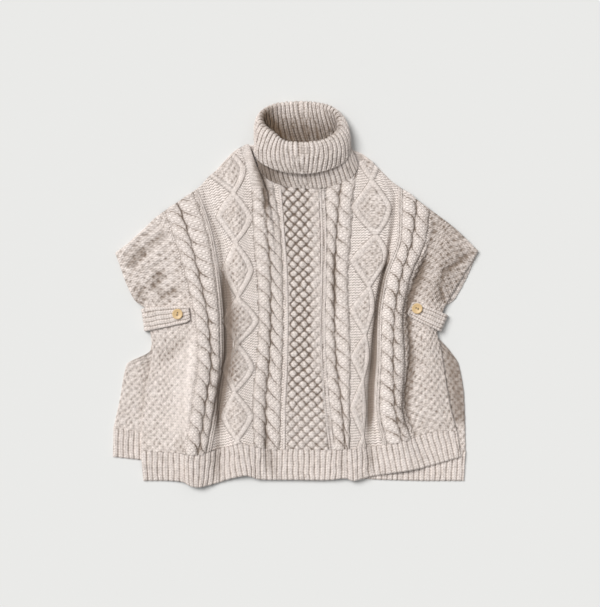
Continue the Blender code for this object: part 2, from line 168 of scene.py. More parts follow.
def box_blur(values: np.ndarray, columns: int, rows: int) -> np.ndarray:
    """Return the mean of each value's neighbours, with the edges repeated.

    Args:
        values: a grid of numbers.
        columns: how far to reach across.
        rows: how far to reach along.

    Returns:
        The smoothed grid.
    """
    result = values
    for axis, reach in ((0, columns), (1, rows)):
        if reach < 1:
            continue
        pad = [(0, 0), (0, 0)]
        pad[axis] = (reach + 1, reach)
        total = np.cumsum(np.pad(result, pad, mode="edge"), axis=axis)
        count = result.shape[axis]
        high = np.take(total, range(2 * reach + 1, 2 * reach + 1 + count), axis=axis)
        low = np.take(total, range(0, count), axis=axis)
        result = (high - low) / (2 * reach + 1)
    return result


def soft_noise(x: np.ndarray, y: np.ndarray, size: float, seed: int) -> np.ndarray:
    """Return smooth noise from -1 to 1.

    Args:
        x: places across, in the same unit as size.
        y: places along.
        size: the width of one swell.
        seed: which noise.

    Returns:
        Noise at each place.
    """
    table = np.random.default_rng(seed).uniform(-1.0, 1.0, (64, 64))
    gx, gy = x / size, y / size
    ix, iy = np.floor(gx).astype(int), np.floor(gy).astype(int)
    fx, fy = gx - ix, gy - iy
    fx, fy = fx * fx * (3 - 2 * fx), fy * fy * (3 - 2 * fy)
    a, b = table[ix % 64, iy % 64], table[(ix + 1) % 64, iy % 64]
    c, d = table[ix % 64, (iy + 1) % 64], table[(ix + 1) % 64, (iy + 1) % 64]
    return (a * (1 - fx) + b * fx) * (1 - fy) + (c * (1 - fx) + d * fx) * fy


# ---------------------------------------------------------------------------
# Stitch patterns
# ---------------------------------------------------------------------------


def knit_stitch(wale: np.ndarray, course: np.ndarray) -> np.ndarray:
    """Return the height of knit stitches, from 0 in their gaps to 1 on their legs.

    Args:
        wale: places across, in stitches.
        course: places along, in rows.

    Returns:
        A height for each place.
    """
    aside = np.abs(wale - np.floor(wale) - 0.5)
    leg = course - 1.3 * aside
    swell = np.sin(math.pi * (leg - np.floor(leg)))
    gap = np.abs(np.sin(2.0 * math.pi * aside))
    return np.clip(swell, 0.0, 1.0) ** 0.6 * gap**0.45


@dataclass
class Fabric:
    """A stretch of knitting: its relief and the run of its single stitches, in millimetres."""

    across: np.ndarray
    along: np.ndarray
    height: np.ndarray = field(init=False)
    wale: np.ndarray = field(init=False)
    course: np.ndarray = field(init=False)
    purl: np.ndarray = field(init=False)
    # painted shade in the gaps between stitches, from 0 to 1
    gap_shade: np.ndarray = field(init=False)

    @classmethod
    def over(cls, points: np.ndarray, row: int) -> "Fabric":
        """Return plain knitting over a grid of cloth.

        Args:
            points: the cloth's points, in millimetres.
            row: the row along which its width is measured.

        Returns:
            The fabric, one stitch place for each point.
        """
        along = running_length(points, 1)
        across = running_length(points, 0)[:, row]
        return cls(across[:, None] + 0.0 * along, along)

    def __post_init__(self) -> None:
        """Start as plain reverse stockinette."""
        self.wale = self.across / STITCH_WIDTH
        self.course = self.along / STITCH_HEIGHT
        row = self.course + 0.2 * np.cos(2.0 * math.pi * self.wale)
        bars = np.abs(np.sin(math.pi * row))
        self.height = 0.7 * bars
        self.purl = np.ones_like(self.across)
        between = 0.5 + 0.5 * np.cos(2.0 * math.pi * self.wale)
        # Painted shade between the purl bars, most between wales.
        self.gap_shade = 0.02 + 0.90 * (1.0 - bars) ** 1.3 * (0.55 + 0.6 * between)

    def put(self, where: np.ndarray, height: np.ndarray, purl: float, gap_shade: object = 0.0,
            wale: Optional[np.ndarray] = None) -> None:
        """Lay a pattern over part of the fabric.

        Args:
            where: the stitches that it covers.
            height: its relief there.
            purl: 1 for purl stitches, 0 for knit ones.
            gap_shade: the painted shade in its gaps, from 0 to 1.
            wale: the run of its stitches across, where it isn't the fabric's own.
        """
        self.height = np.where(where, height, self.height)
        self.purl = np.where(where, purl, self.purl)
        self.gap_shade = np.where(where, gap_shade, self.gap_shade)
        if wale is not None:
            self.wale = np.where(where, wale, self.wale)

    def grain(self) -> None:
        """Raise single knit stitches, paint shade in their gaps and make the yarn uneven."""
        stitch = knit_stitch(self.wale, self.course)
        knit = 1.0 - self.purl
        self.height = self.height + knit * 0.75 * (stitch - 0.6)
        # Painted shade in the gaps of single knit stitches; the noise after it makes the yarn and this
        # shade uneven.
        self.gap_shade = self.gap_shade + knit * 0.42 * (1.0 - stitch) ** 1.3
        fine = soft_noise(self.across, self.along, 2.5, 71)
        coarse = soft_noise(self.across, self.along, 5.6, 72)
        self.gap_shade = np.clip(self.gap_shade + 0.17 * fine + 0.07 * coarse, 0.0, 1.0)
        self.height = self.height + 0.16 * fine + 0.14 * coarse

    def surface(self, points: np.ndarray, painted_shade: np.ndarray) -> "Surface":
        """Return the fabric's surface at points in millimetres."""
        return Surface(points * MM, self.wale, self.course, self.purl, painted_shade)


@dataclass(frozen=True)
class Rope:
    """A cable whose leaves lean back to the left as they rise."""

    leaf: float = 31.5
    height: float = 6.0
    lean: float = 0.34
    curl: float = 0.20
    gap: float = 1.7

    def knit(self, fabric: Fabric, where: np.ndarray, side: np.ndarray, half_width: np.ndarray,
             phase: float, groove: float) -> None:
        """Knit the rope.

        Args:
            fabric: what it is knitted into.
            where: the stitches that it covers.
            side: from -1 at its left edge to 1 at its right.
            half_width: half its width, in millimetres.
            phase: how far up its first leaf starts, in leaves.
            groove: 1 where the pair's middle groove is on its right, -1 on its left.
        """
        wander = 0.08 * soft_noise(fabric.across, fabric.along, 26.0, 41)
        turn = fabric.along / self.leaf + self.lean * side + self.curl * side**3 + phase + wander
        share = turn - np.floor(turn)
        steep = (self.lean + 3.0 * self.curl * side * side) / half_width
        narrow = 1.0 / np.sqrt(1.0 / self.leaf**2 + steep * steep)
        distance = np.minimum(share, 1.0 - share) * narrow
        dome = np.clip(1.0 - np.abs(side) ** 2.2, 0.0, 1.0) ** 0.6
        leaf = (1.0 - np.exp(-((share / 0.15) ** 2))) * (1.0 - 0.5 * share**2)
        height = self.height * dome * (0.42 + 0.58 * leaf)
        # Painted shade in the gaps between leaves, most beside the pair's middle groove and along the
        # rope's edges, and a painted shadow under each leaf's end.
        near_groove = ease(-0.9, 0.9, side * groove)
        gap_shade = (0.24 + 0.50 * near_groove) * np.exp(-((distance / self.gap) ** 2))
        shadow = 0.20 * np.exp(-(((1.0 - share) * narrow / 4.5) ** 2))
        edge = (1.0 - np.abs(side)) * half_width
        gap_shade = np.maximum(gap_shade, (0.45 + 0.40 * near_groove) * np.exp(-((edge / 1.5) ** 2)))
        gap_shade = gap_shade * (0.74 + 0.6 * soft_noise(fabric.across, fabric.along, 5.5, 42))
        gap_shade = gap_shade + shadow + 0.18 * np.exp(-((edge / 4.5) ** 2))
        fabric.put(where, height, 0.0, gap_shade, 3.0 * turn)


@dataclass(frozen=True)
class RibLine:
    """One or two knit wales that stand out of purl on either side."""

    height: float = 3.6
    wales: int = 1

    def knit(self, fabric: Fabric, where: np.ndarray, side: np.ndarray) -> None:
        """Knit the line where side runs from -1 to 1 across it.

        Args:
            fabric: the knitting to work on.
            where: the stitches that it covers.
            side: from -1 at its left edge to 1 at its right.
        """
        body = np.clip(1.0 - np.abs(side) ** 3, 0.0, 1.0) ** 0.6
        split = np.exp(-((side / 0.22) ** 2)) if self.wales == 2 else 0.0 * side
        # Painted shade in the purl gaps at the line's sides and between its two wales.
        ladder = 0.7 + 0.3 * np.cos(2.0 * math.pi * fabric.course)
        gap_shade = 0.75 * ladder * np.clip(np.abs(side) ** 6 + 0.8 * split, 0.0, 1.0)
        wale = side * self.wales / 2 + 0.5
        fabric.put(where, self.height * body * (1.0 - 0.5 * split), 0.0, gap_shade, wale)


@dataclass(frozen=True)
class Moss:
    """Double moss: pairs of bumps that shift sideways with every second course."""

    width: float = 7.0
    length: float = 8.0
    low: float = 0.3
    swell: float = 2.1

    def relief(self, across: np.ndarray, along: np.ndarray) -> tuple[np.ndarray, np.ndarray]:
        """Return the relief of moss at places in millimetres, and the painted shade in its holes.

        Args:
            across: places across, in millimetres.
            along: places along, in millimetres.

        Returns:
            The height, then the painted shade in each hole.
        """
        x = across + 3.0 * soft_noise(across, along, 11.0, 5)
        y = along + 3.0 * soft_noise(across, along, 11.0, 6)
        checks = np.cos(math.pi * x / self.width) * np.cos(math.pi * y / self.length)
        bump = (0.5 + 0.5 * checks) ** 0.7
        stitches = np.cos(2.0 * math.pi * (x + 0.5 * y) / 5.2) * np.cos(math.pi * (y - 0.2 * x) / 5.2)
        uneven = 0.5 + 0.5 * soft_noise(across, along, 4.2, 9)
        loops = 0.5 + 0.5 * stitches
        height = self.low + self.swell * bump * (0.5 + 0.8 * uneven) + loops
        stroke = loops**1.6 * (0.6 + 0.8 * uneven)
        # Painted shade in the holes between bumps and between the light strokes of the loops.
        hole = 0.66 * (1.0 - bump) ** 1.6 * (0.25 + uneven)
        return height, np.clip(hole + 0.27 * (1.0 - np.minimum(stroke, 1.0)), 0.0, 1.0)

    def knit(self, fabric: Fabric, where: np.ndarray) -> None:
        """Knit moss over part of the fabric."""
        height, gap_shade = self.relief(fabric.across, fabric.along)
        fabric.put(where, height, 0.8, gap_shade)


@dataclass(frozen=True)
class Honeycomb:
    """Small crossed cables that leave soft knobs with deep slits between them."""

    cell: float = 20.0
    height: float = 4.6
    slit_width: float = 1.35

    def knit(self, fabric: Fabric, where: np.ndarray, across: np.ndarray, along: np.ndarray,
             strength: np.ndarray) -> None:
        """Knit honeycomb over part of the fabric.

        Args:
            fabric: what it is knitted into.
            where: the stitches that it covers.
            across: millimetres across the honeycomb.
            along: millimetres up it.
            strength: how far the slits are drawn in, from 0 to 1.
        """
        x = (across + 1.6 * soft_noise(across, along, 13.0, 21)) / self.cell
        y = (along + 1.6 * soft_noise(across, along, 13.0, 23)) / self.cell
        rise, fall = x + y, x - y
        spacing = self.cell / math.sqrt(2.0)
        first = np.abs(rise - np.floor(rise) - 0.5) * spacing
        second = np.abs(fall - np.floor(fall) - 0.5) * spacing
        knob = np.sqrt(np.abs(np.cos(math.pi * rise) * np.cos(math.pi * fall)))
        rows = 0.5 + 0.5 * soft_noise(across, along, 8.0, 22)
        # The slits sink the relief and carry painted shade, most where they meet.
        gap = np.maximum(np.exp(-((first / self.slit_width) ** 2)) * (0.72 + 0.35 * rows),
                         np.exp(-((second / self.slit_width) ** 2)) * (0.95 - 0.35 * rows))
        corner = np.exp(-((first**2 + second**2) / 3.0**2)) * (0.5 + 0.8 * rows)
        gap = np.clip(gap + corner, 0.0, 1.0) * strength
        height = self.height * (0.30 + 0.70 * knob - 0.55 * gap)
        fabric.put(where, height, 0.0, 1.05 * gap, 3.0 * fall)


@dataclass(frozen=True)
class Diamonds:
    """Two travelling lines that cross and part, with moss inside and purl outside."""

    crossings: tuple[float, ...]
    line: float = 5.6
    line_height: float = 2.9
    moss: Moss = Moss(width=6.2, length=6.8, swell=2.0)

    def knit(self, fabric: Fabric, where: np.ndarray, side: np.ndarray, half_width: np.ndarray,
             up: np.ndarray) -> None:
        """Knit the column of diamonds.

        Args:
            fabric: what it is knitted into.
            where: the stitches that it covers.
            side: 0 on the crossings and 1 or -1 at the diamonds' outer corners.
            half_width: half a diamond's width, in millimetres.
            up: the place up the garment, in millimetres, that crossings are given in.
        """
        count = np.arange(len(self.crossings))
        turn = np.interp(up, self.crossings, count)
        spread = 1.0 - np.abs(2.0 * (turn - np.floor(turn)) - 1.0)
        rounded = np.sin(0.5 * math.pi * spread)
        bow = np.where(side > 0, 0.55, 0.20)
        spread = 0.04 + 0.96 * ((1.0 - bow) * spread + bow * rounded)
        slope = np.clip(1.0 / np.sqrt(1.0 + (half_width / 48.0) ** 2), 0.3, 1.0)
        distance = (np.abs(side) - (spread - 0.5 * self.line / half_width)) * half_width * slope
        inside = distance < 0.0
        height, gap_shade = self.moss.relief(side * half_width, up)
        fabric.put(where & inside, 0.9 + height, 0.6, 1.05 * gap_shade)
        share = np.clip(1.0 - (distance / self.line) ** 2, 0.0, 1.0)
        strands = np.cos(2.0 * math.pi * distance / (0.5 * self.line))
        body = np.where(distance > 0, share**0.5, 0.55 + 0.45 * share)
        # Painted shade along the outer rim of each travelling line and between its strands.
        rim = np.exp(-(((self.line - distance) / 1.3) ** 2))
        dark = 0.55 * rim + 0.05 + 0.16 * ease(0.2, -1.0, strands)
        on_line = where & (share > 0.0)
        line = self.line_height * body + 0.35 * strands
        fabric.put(on_line, np.maximum(line, 0.9), 0.45, dark, distance / STITCH_WIDTH)


@dataclass(frozen=True)
class TwoByTwo:
    """Rib of two knit wales and two hidden purl ones."""

    pitch: float = 10.8
    height: float = 3.4
    # how strong the painted shade in the valleys is
    dark: float = 0.85

    def relief(self, across: np.ndarray) -> tuple[np.ndarray, np.ndarray]:
        """Return the rib's relief at millimetres across it, and the painted shade in its valleys.

        Args:
            across: places across, in millimetres.

        Returns:
            The height, then the painted shade in each valley.
        """
        share = across / self.pitch
        share = np.abs(share - np.floor(share) - 0.5) * 2.0
        body = np.clip(1.0 - (share / 0.94) ** 3.2, 0.0, 1.0) ** 0.6
        middle = np.exp(-((share / 0.13) ** 2))
        valley = np.exp(-(((1.0 - share) / 0.22) ** 2))
        return self.height * (body - 0.2 * middle), self.dark * (valley + 0.30 * middle)

    def knit(self, fabric: Fabric) -> None:
        """Knit rib over the whole fabric.

        Args:
            fabric: the knitting to work on.
        """
        pull = 1.3 * soft_noise(fabric.across, fabric.along, 16.0, 31)
        height, gap_shade = self.relief(fabric.across + pull)
        # Painted shade in the valleys, varying along the courses.
        ladder = 0.75 + 0.35 * np.cos(2.0 * math.pi * fabric.course)
        uneven = soft_noise(fabric.across, fabric.along, 5.0, 33)
        fabric.height = height * (1.0 + 0.12 * uneven)
        fabric.wale = 2.0 * (fabric.across + pull) / self.pitch
        fabric.gap_shade = np.clip(gap_shade * ladder * (1.0 + 0.3 * uneven), 0.0, 1.0)
        fabric.purl = np.where(height < 0.25 * self.height, 1.0, 0.0)
        fabric.grain()


# ---------------------------------------------------------------------------
# Meshes
# ---------------------------------------------------------------------------


@dataclass
class Surface:
    """A grid of points with what the yarn's material reads from it."""

    points: np.ndarray
    wale: np.ndarray
    course: np.ndarray
    purl: np.ndarray
    # painted shade, from 0 to 1, that the material mixes in
    painted_shade: np.ndarray


def mesh_from_faces(name: str, verts: np.ndarray, quads: np.ndarray, tris: np.ndarray,
                    stitches: np.ndarray, purl: np.ndarray, painted_shade: np.ndarray) -> bpy.types.Object:
    """Make an object from arrays of vertices and faces.

    Args:
        name: the piece's name.
        verts: one row of three for each vertex.
        quads: faces of four vertices.
        tris: faces of three vertices.
        stitches: the place of each vertex in stitches across and up.
        purl: how far each vertex is purl.
        painted_shade: how much painted shade each vertex has, where shade falls in gaps and hollows.

    Returns:
        The linked object, shaded smooth.
    """
    mesh = bpy.data.meshes.new(name)
    loops = np.concatenate([quads.ravel(), tris.ravel()]).astype(np.int32)
    sizes = np.concatenate([np.full(len(quads), 4), np.full(len(tris), 3)]).astype(np.int32)
    starts = np.concatenate([[0], np.cumsum(sizes)[:-1]]).astype(np.int32)
    mesh.vertices.add(len(verts))
    mesh.vertices.foreach_set("co", verts.astype(np.float32).ravel())
    mesh.loops.add(len(loops))
    mesh.loops.foreach_set("vertex_index", loops)
    mesh.polygons.add(len(sizes))
    mesh.polygons.foreach_set("loop_start", starts)
    mesh.polygons.foreach_set("loop_total", sizes)
    mesh.update(calc_edges=True)
    mesh.validate()
    layer = mesh.uv_layers.new(name="stitches")
    layer.data.foreach_set("uv", stitches[loops].astype(np.float32).ravel())
    # The painted shade goes to the material as a vertex attribute.
    for title, values in (("purl", purl), ("painted_shade", painted_shade)):
        attribute = mesh.attributes.new(title, "FLOAT", "POINT")
        attribute.data.foreach_set("value", values.astype(np.float32))
    mesh.shade_smooth()
    mesh.set_sharp_from_angle(angle=math.radians(80))
    made = bpy.data.objects.new(name, mesh)
    bpy.context.scene.collection.objects.link(made)
    return made


def grid_faces(numbers: np.ndarray) -> np.ndarray:
    """Return the quads between neighbours in a grid of vertex numbers, facing up.

    Args:
        numbers: the vertex numbers, by column and row.

    Returns:
        One quad to a row.
    """
    a, b = numbers[:-1, :-1], numbers[1:, :-1]
    c, d = numbers[1:, 1:], numbers[:-1, 1:]
    return np.stack([a, b, c, d], axis=-1).reshape(-1, 4)


def rim_faces(fine: np.ndarray, coarse: np.ndarray, step: int) -> list[tuple[int, int, int]]:
    """Return the triangles between a fine border and the coarse one below it.

    Args:
        fine: the fine border.
        coarse: the coarse border.
        step: how many fine edges each coarse one spans.

    Returns:
        Three vertex numbers for each triangle.
    """
    faces = []
    for j in range(len(coarse) - 1):
        middle = step // 2
        for i in range(step):
            near = coarse[j] if i < middle else coarse[j + 1]
            faces.append((fine[j * step + i + 1], fine[j * step + i], near))
        faces.append((coarse[j], coarse[j + 1], fine[j * step + middle]))
    return faces


def shell(name: str, top: Surface, under: np.ndarray, step: int) -> bpy.types.Object:
    """Close a fine upper surface with a coarser one under it.

    Args:
        name: the piece's name.
        top: the upper surface, whose columns and rows are multiples of step, and one.
        under: the lower points, one for every point of the upper surface.
        step: how many upper faces each lower face spans.

    Returns:
        The closed piece.
    """
    columns, rows, _ = top.points.shape
    low = under[::step, ::step]
    upper = np.arange(columns * rows).reshape(columns, rows)
    lower = columns * rows + np.arange(low.shape[0] * low.shape[1]).reshape(low.shape[:2])
    quads = np.concatenate([grid_faces(upper), grid_faces(lower)[:, ::-1]])
    tris: list[tuple[int, int, int]] = []
    tris += rim_faces(upper[::-1, 0], lower[::-1, 0], step)
    tris += rim_faces(upper[:, -1], lower[:, -1], step)
    tris += rim_faces(upper[0, :], lower[0, :], step)
    tris += rim_faces(upper[-1, ::-1], lower[-1, ::-1], step)
    verts = np.concatenate([top.points.reshape(-1, 3), low.reshape(-1, 3)])

    def both(values: np.ndarray) -> np.ndarray:
        """Return a value for each upper point, then for each lower one."""
        return np.concatenate([values.ravel(), values[::step, ::step].ravel()])

    def calm(values: np.ndarray, level: float) -> np.ndarray:
        """Return a value for each upper point, then one level for all the lower ones."""
        return np.concatenate([values.ravel(), np.full(low.shape[0] * low.shape[1], level)])

    stitches = np.stack([both(top.wale), both(top.course)], axis=1)
    # The underside gets one even painted shade.
    return mesh_from_faces(name, verts, quads, np.array(tris), stitches, calm(top.purl, UNDER_PURL),
                           calm(top.painted_shade, UNDER_PAINTED_SHADE))


def fold_floor_shade(points: np.ndarray, spacing: float) -> np.ndarray:
    """Return the painted shade of each point of cloth by how far down it lies in a fold, from 0 to 1.

    Args:
        points: the cloth's surface without its relief, in millimetres.
        spacing: the grid's spacing, in millimetres.

    Returns:
        0 on what stands out, towards 1 in the floor of a fold.
    """
    wide = max(1, round(11.0 / spacing))
    depth = box_blur(points[:, :, 2], wide, wide) - points[:, :, 2]
    return np.clip(depth / 4.0, 0.0, 0.8)


# ---------------------------------------------------------------------------
# Finishes
# ---------------------------------------------------------------------------


class NodeBoard:
    """Short ways to add and join shader nodes."""

    def __init__(self, material: bpy.types.Material) -> None:
        """Work on the node tree of a material.

        Args:
            material: the material to work on.
        """
        material.use_nodes = True
        self.tree = material.node_tree
        self.shader = self.tree.nodes["Principled BSDF"]

    def add(self, kind: str, **settings: object) -> bpy.types.Node:
        """Add a node and set its properties.

        Args:
            kind: the node type.
            settings: its properties.

        Returns:
            The node.
        """
        node = self.tree.nodes.new(kind)
        for name, value in settings.items():
            setattr(node, name, value)
        return node

    def feed(self, socket: bpy.types.NodeSocket, value: object) -> None:
        """Join a socket to an output, or set it to a number or colour.

        Args:
            socket: the input.
            value: an output, a number or a colour.
        """
        if isinstance(value, bpy.types.NodeSocket):
            self.tree.links.new(value, socket)
        else:
            socket.default_value = value

    def math(self, operation: str, *values: object) -> bpy.types.NodeSocket:
        """Return the result of a Math node.

        Args:
            operation: what to do.
            values: the inputs, in order.

        Returns:
            The result.
        """
        node = self.add("ShaderNodeMath", operation=operation)
        for socket, value in zip(node.inputs, values):
            self.feed(socket, value)
        return node.outputs[0]

    def mix(self, factor: object, first: object, second: object) -> bpy.types.NodeSocket:
        """Return a mix of two colours.

        Args:
            factor: how much of the second.
            first: one colour.
            second: the other.

        Returns:
            The mixed colour.
        """
        node = self.add("ShaderNodeMix", data_type="RGBA")
        self.feed(node.inputs["Factor"], factor)
        self.feed(node.inputs["A"], first)
        self.feed(node.inputs["B"], second)
        return node.outputs["Result"]

    def noise(self, vector: bpy.types.NodeSocket, scale: float, detail: float) -> bpy.types.NodeSocket:
        """Return noise from 0 to 1.

        Args:
            vector: the places.
            scale: how fine it is.
            detail: how many finer layers it has.

        Returns:
            The noise.
        """
        node = self.add("ShaderNodeTexNoise")
        self.feed(node.inputs["Vector"], vector)
        node.inputs["Scale"].default_value = scale
        node.inputs["Detail"].default_value = detail
        return node.outputs[0]


@dataclass(frozen=True)
class YarnFinish:
    """Undyed wool in single stitches, matt and a little hairy."""

    name: str
    light: tuple[float, float, float, float] = (0.960, 0.885, 0.845, 1.0)
    warm: tuple[float, float, float, float] = (0.890, 0.795, 0.735, 1.0)
    # the colour of painted shade; the two strengths below set how far gaps and hollows are painted with
    # it
    shade_colour: tuple[float, float, float, float] = (0.125, 0.078, 0.045, 1.0)
    stitch_depth: float = 1.1 * MM
    fibre_depth: float = 0.5 * MM
    painted_shade_strength: float = 0.88
    gap_shade_strength: float = 0.34

    def material(self) -> bpy.types.Material:
        """Return the yarn's material.

        Returns:
            The material.
        """
        material = bpy.data.materials.new(self.name)
        board = NodeBoard(material)
        place = board.add("ShaderNodeTexCoord").outputs["Object"]
        uv = board.add("ShaderNodeUVMap", uv_map="stitches").outputs["UV"]
        purl = board.add("ShaderNodeAttribute", attribute_name="purl").outputs["Fac"]
        painted_shade = board.add("ShaderNodeAttribute", attribute_name="painted_shade").outputs["Fac"]
        stitch = self.stitch_height(board, uv, purl)
        fibre = board.noise(place, 900.0, 4.0)
        tuft = board.noise(place, 260.0, 3.0)
        self.colour(board, place, stitch, painted_shade, tuft)
        self.bump(board, stitch, fibre, tuft)
        board.shader.inputs["Roughness"].default_value = 0.92
        board.shader.inputs["Specular IOR Level"].default_value = 0.25
        board.shader.inputs["Sheen Weight"].default_value = 0.22
        board.shader.inputs["Sheen Roughness"].default_value = 0.45
        board.shader.inputs["Sheen Tint"].default_value = (1.0, 0.96, 0.92, 1.0)
        return material

    def stitch_height(self, board: NodeBoard, uv: bpy.types.NodeSocket,
                      purl: bpy.types.NodeSocket) -> bpy.types.NodeSocket:
        """Return the height of single knit and purl stitches, from 0 to 1.

        Args:
            board: the material's nodes.
            uv: the stitch places.
            purl: how much is purl.

        Returns:
            The stitch height.
        """
        split = board.add("ShaderNodeSeparateXYZ")
        board.feed(split.inputs[0], uv)
        across, up = split.outputs[0], split.outputs[1]
        aside = board.math("ABSOLUTE", board.math("SUBTRACT", board.math("FRACT", across), 0.5))
        leg = board.math("FRACT", board.math("SUBTRACT", up, board.math("MULTIPLY", aside, 1.3)))
        swell = board.math("SINE", board.math("MULTIPLY", leg, math.pi))
        gap = board.math("ABSOLUTE", board.math("SINE", board.math("MULTIPLY", aside, 2.0 * math.pi)))
        knit = board.math("MULTIPLY", board.math("POWER", swell, 0.6), board.math("POWER", gap, 0.45))
        wave = board.math("COSINE", board.math("MULTIPLY", across, 2.0 * math.pi))
        row = board.math("FRACT", board.math("ADD", up, board.math("MULTIPLY", wave, 0.2)))
        bump = board.math("POWER", board.math("SINE", board.math("MULTIPLY", row, math.pi)), 0.7)
        difference = board.math("SUBTRACT", bump, knit)
        return board.math("ADD", knit, board.math("MULTIPLY", difference, purl))

    def colour(self, board: NodeBoard, place: bpy.types.NodeSocket, stitch: bpy.types.NodeSocket,
               painted_shade: bpy.types.NodeSocket, tuft: bpy.types.NodeSocket) -> None:
        """Colour the wool: heathered, with painted shade between stitches and in hollows.

        Args:
            board: the material's nodes.
            place: the place on the piece.
            stitch: the stitch height.
            painted_shade: the painted shade, from the vertex attribute.
            tuft: the coarse noise.
        """
        heather = board.noise(place, 45.0, 2.0)
        base = board.mix(heather, self.light, self.warm)
        base = board.mix(board.math("MULTIPLY", tuft, 0.35), base, self.warm)
        # Painted shade between single stitches.
        gap = board.math("POWER", board.math("SUBTRACT", 1.0, stitch), 1.6)
        between = board.math("MULTIPLY", gap, self.gap_shade_strength)
        base = board.mix(between, base, self.shade_colour)
        # Painted shade in gaps, folds and hollows, from the vertex attribute.
        down = board.math("MULTIPLY", painted_shade, self.painted_shade_strength)
        board.feed(board.shader.inputs["Base Color"], board.mix(down, base, self.shade_colour))

    def bump(self, board: NodeBoard, stitch: bpy.types.NodeSocket, fibre: bpy.types.NodeSocket,
             tuft: bpy.types.NodeSocket) -> None:
        """Raise single stitches and the fibres on them.

        Args:
            board: the material's nodes.
            stitch: the stitch height.
            fibre: the fine noise.
            tuft: the coarse noise.
        """
        hairs = board.add("ShaderNodeBump")
        hairs.inputs["Strength"].default_value = 0.55
        hairs.inputs["Distance"].default_value = self.fibre_depth
        board.feed(hairs.inputs["Height"], board.math("ADD", fibre, tuft))
        loops = board.add("ShaderNodeBump")
        loops.inputs["Strength"].default_value = 0.8
        loops.inputs["Distance"].default_value = self.stitch_depth
        board.feed(loops.inputs["Height"], stitch)
        board.feed(loops.inputs["Normal"], hairs.outputs["Normal"])
        board.feed(board.shader.inputs["Normal"], loops.outputs["Normal"])


@dataclass(frozen=True)
class WoodFinish:
    """Pale sanded wood with fine straight grain."""

    name: str = "button_wood"
    pale: tuple[float, float, float, float] = (0.690, 0.500, 0.265, 1.0)
    grain: tuple[float, float, float, float] = (0.520, 0.345, 0.160, 1.0)

    def material(self) -> bpy.types.Material:
        """Return the wood's material.

        Returns:
            The material.
        """
        material = bpy.data.materials.new(self.name)
        board = NodeBoard(material)
        place = board.add("ShaderNodeTexCoord").outputs["Object"]
        mapping = board.add("ShaderNodeMapping")
        mapping.inputs["Scale"].default_value = (1.0, 6.0, 1.0)
        board.feed(mapping.inputs["Vector"], place)
        rings = board.noise(mapping.outputs[0], 160.0, 5.0)
        pores = board.noise(mapping.outputs[0], 700.0, 3.0)
        base = board.mix(board.math("MULTIPLY", rings, 0.8), self.pale, self.grain)
        base = board.mix(board.math("MULTIPLY", pores, 0.18), base, self.grain)
        board.feed(board.shader.inputs["Base Color"], base)
        bump = board.add("ShaderNodeBump")
        bump.inputs["Strength"].default_value = 0.3
        bump.inputs["Distance"].default_value = 0.15 * MM
        board.feed(bump.inputs["Height"], pores)
        board.feed(board.shader.inputs["Normal"], bump.outputs["Normal"])
        board.shader.inputs["Roughness"].default_value = 0.42
        return material


@dataclass(frozen=True)
class StageFinish:
    """The pale floor."""

    colour: tuple[float, float, float, float] = (0.715, 0.715, 0.702, 1.0)

    def material(self) -> bpy.types.Material:
        """Return the floor's material.

        Returns:
            The material.
        """
        material = bpy.data.materials.new("stage_floor")
        board = NodeBoard(material)
        board.shader.inputs["Base Color"].default_value = self.colour
        board.shader.inputs["Roughness"].default_value = 1.0
        board.shader.inputs["Specular IOR Level"].default_value = 0.0
        return material


def dress(piece: bpy.types.Object, material: bpy.types.Material, slot: Slot,
          replaces: Sequence[str]) -> bpy.types.Object:
    """Give a piece its finish and its place in the frame.

    Args:
        piece: the finished piece.
        material: what it is made of.
        slot: the record's slot for that; not used.
        replaces: the solids that it stands for.

    Returns:
        The same piece.
    """
    piece.data.materials.clear()
    piece.data.materials.append(material)
    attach(piece, BODY)
    for node in replaces:
        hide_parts(node)
    log.info("%s: %d faces", piece.name, len(piece.data.polygons))
    return piece


# ---------------------------------------------------------------------------
# The lie of the cloth
# ---------------------------------------------------------------------------


@dataclass(frozen=True)
class Wale:
    """A guide line that runs up the front panel, in millimetres.

    Its x is given at the hem edge, at the joint of hem and panel, at the levels up the panel
    and at its top end. Its heights are those of the cloth's top above the surface.
    """

    name: str
    hem: tuple[float, float]
    joint: tuple[float, float]
    x: tuple[float, ...]
    top: tuple[float, float]
    hem_height: float
    heights: tuple[float, float, float, float, float]


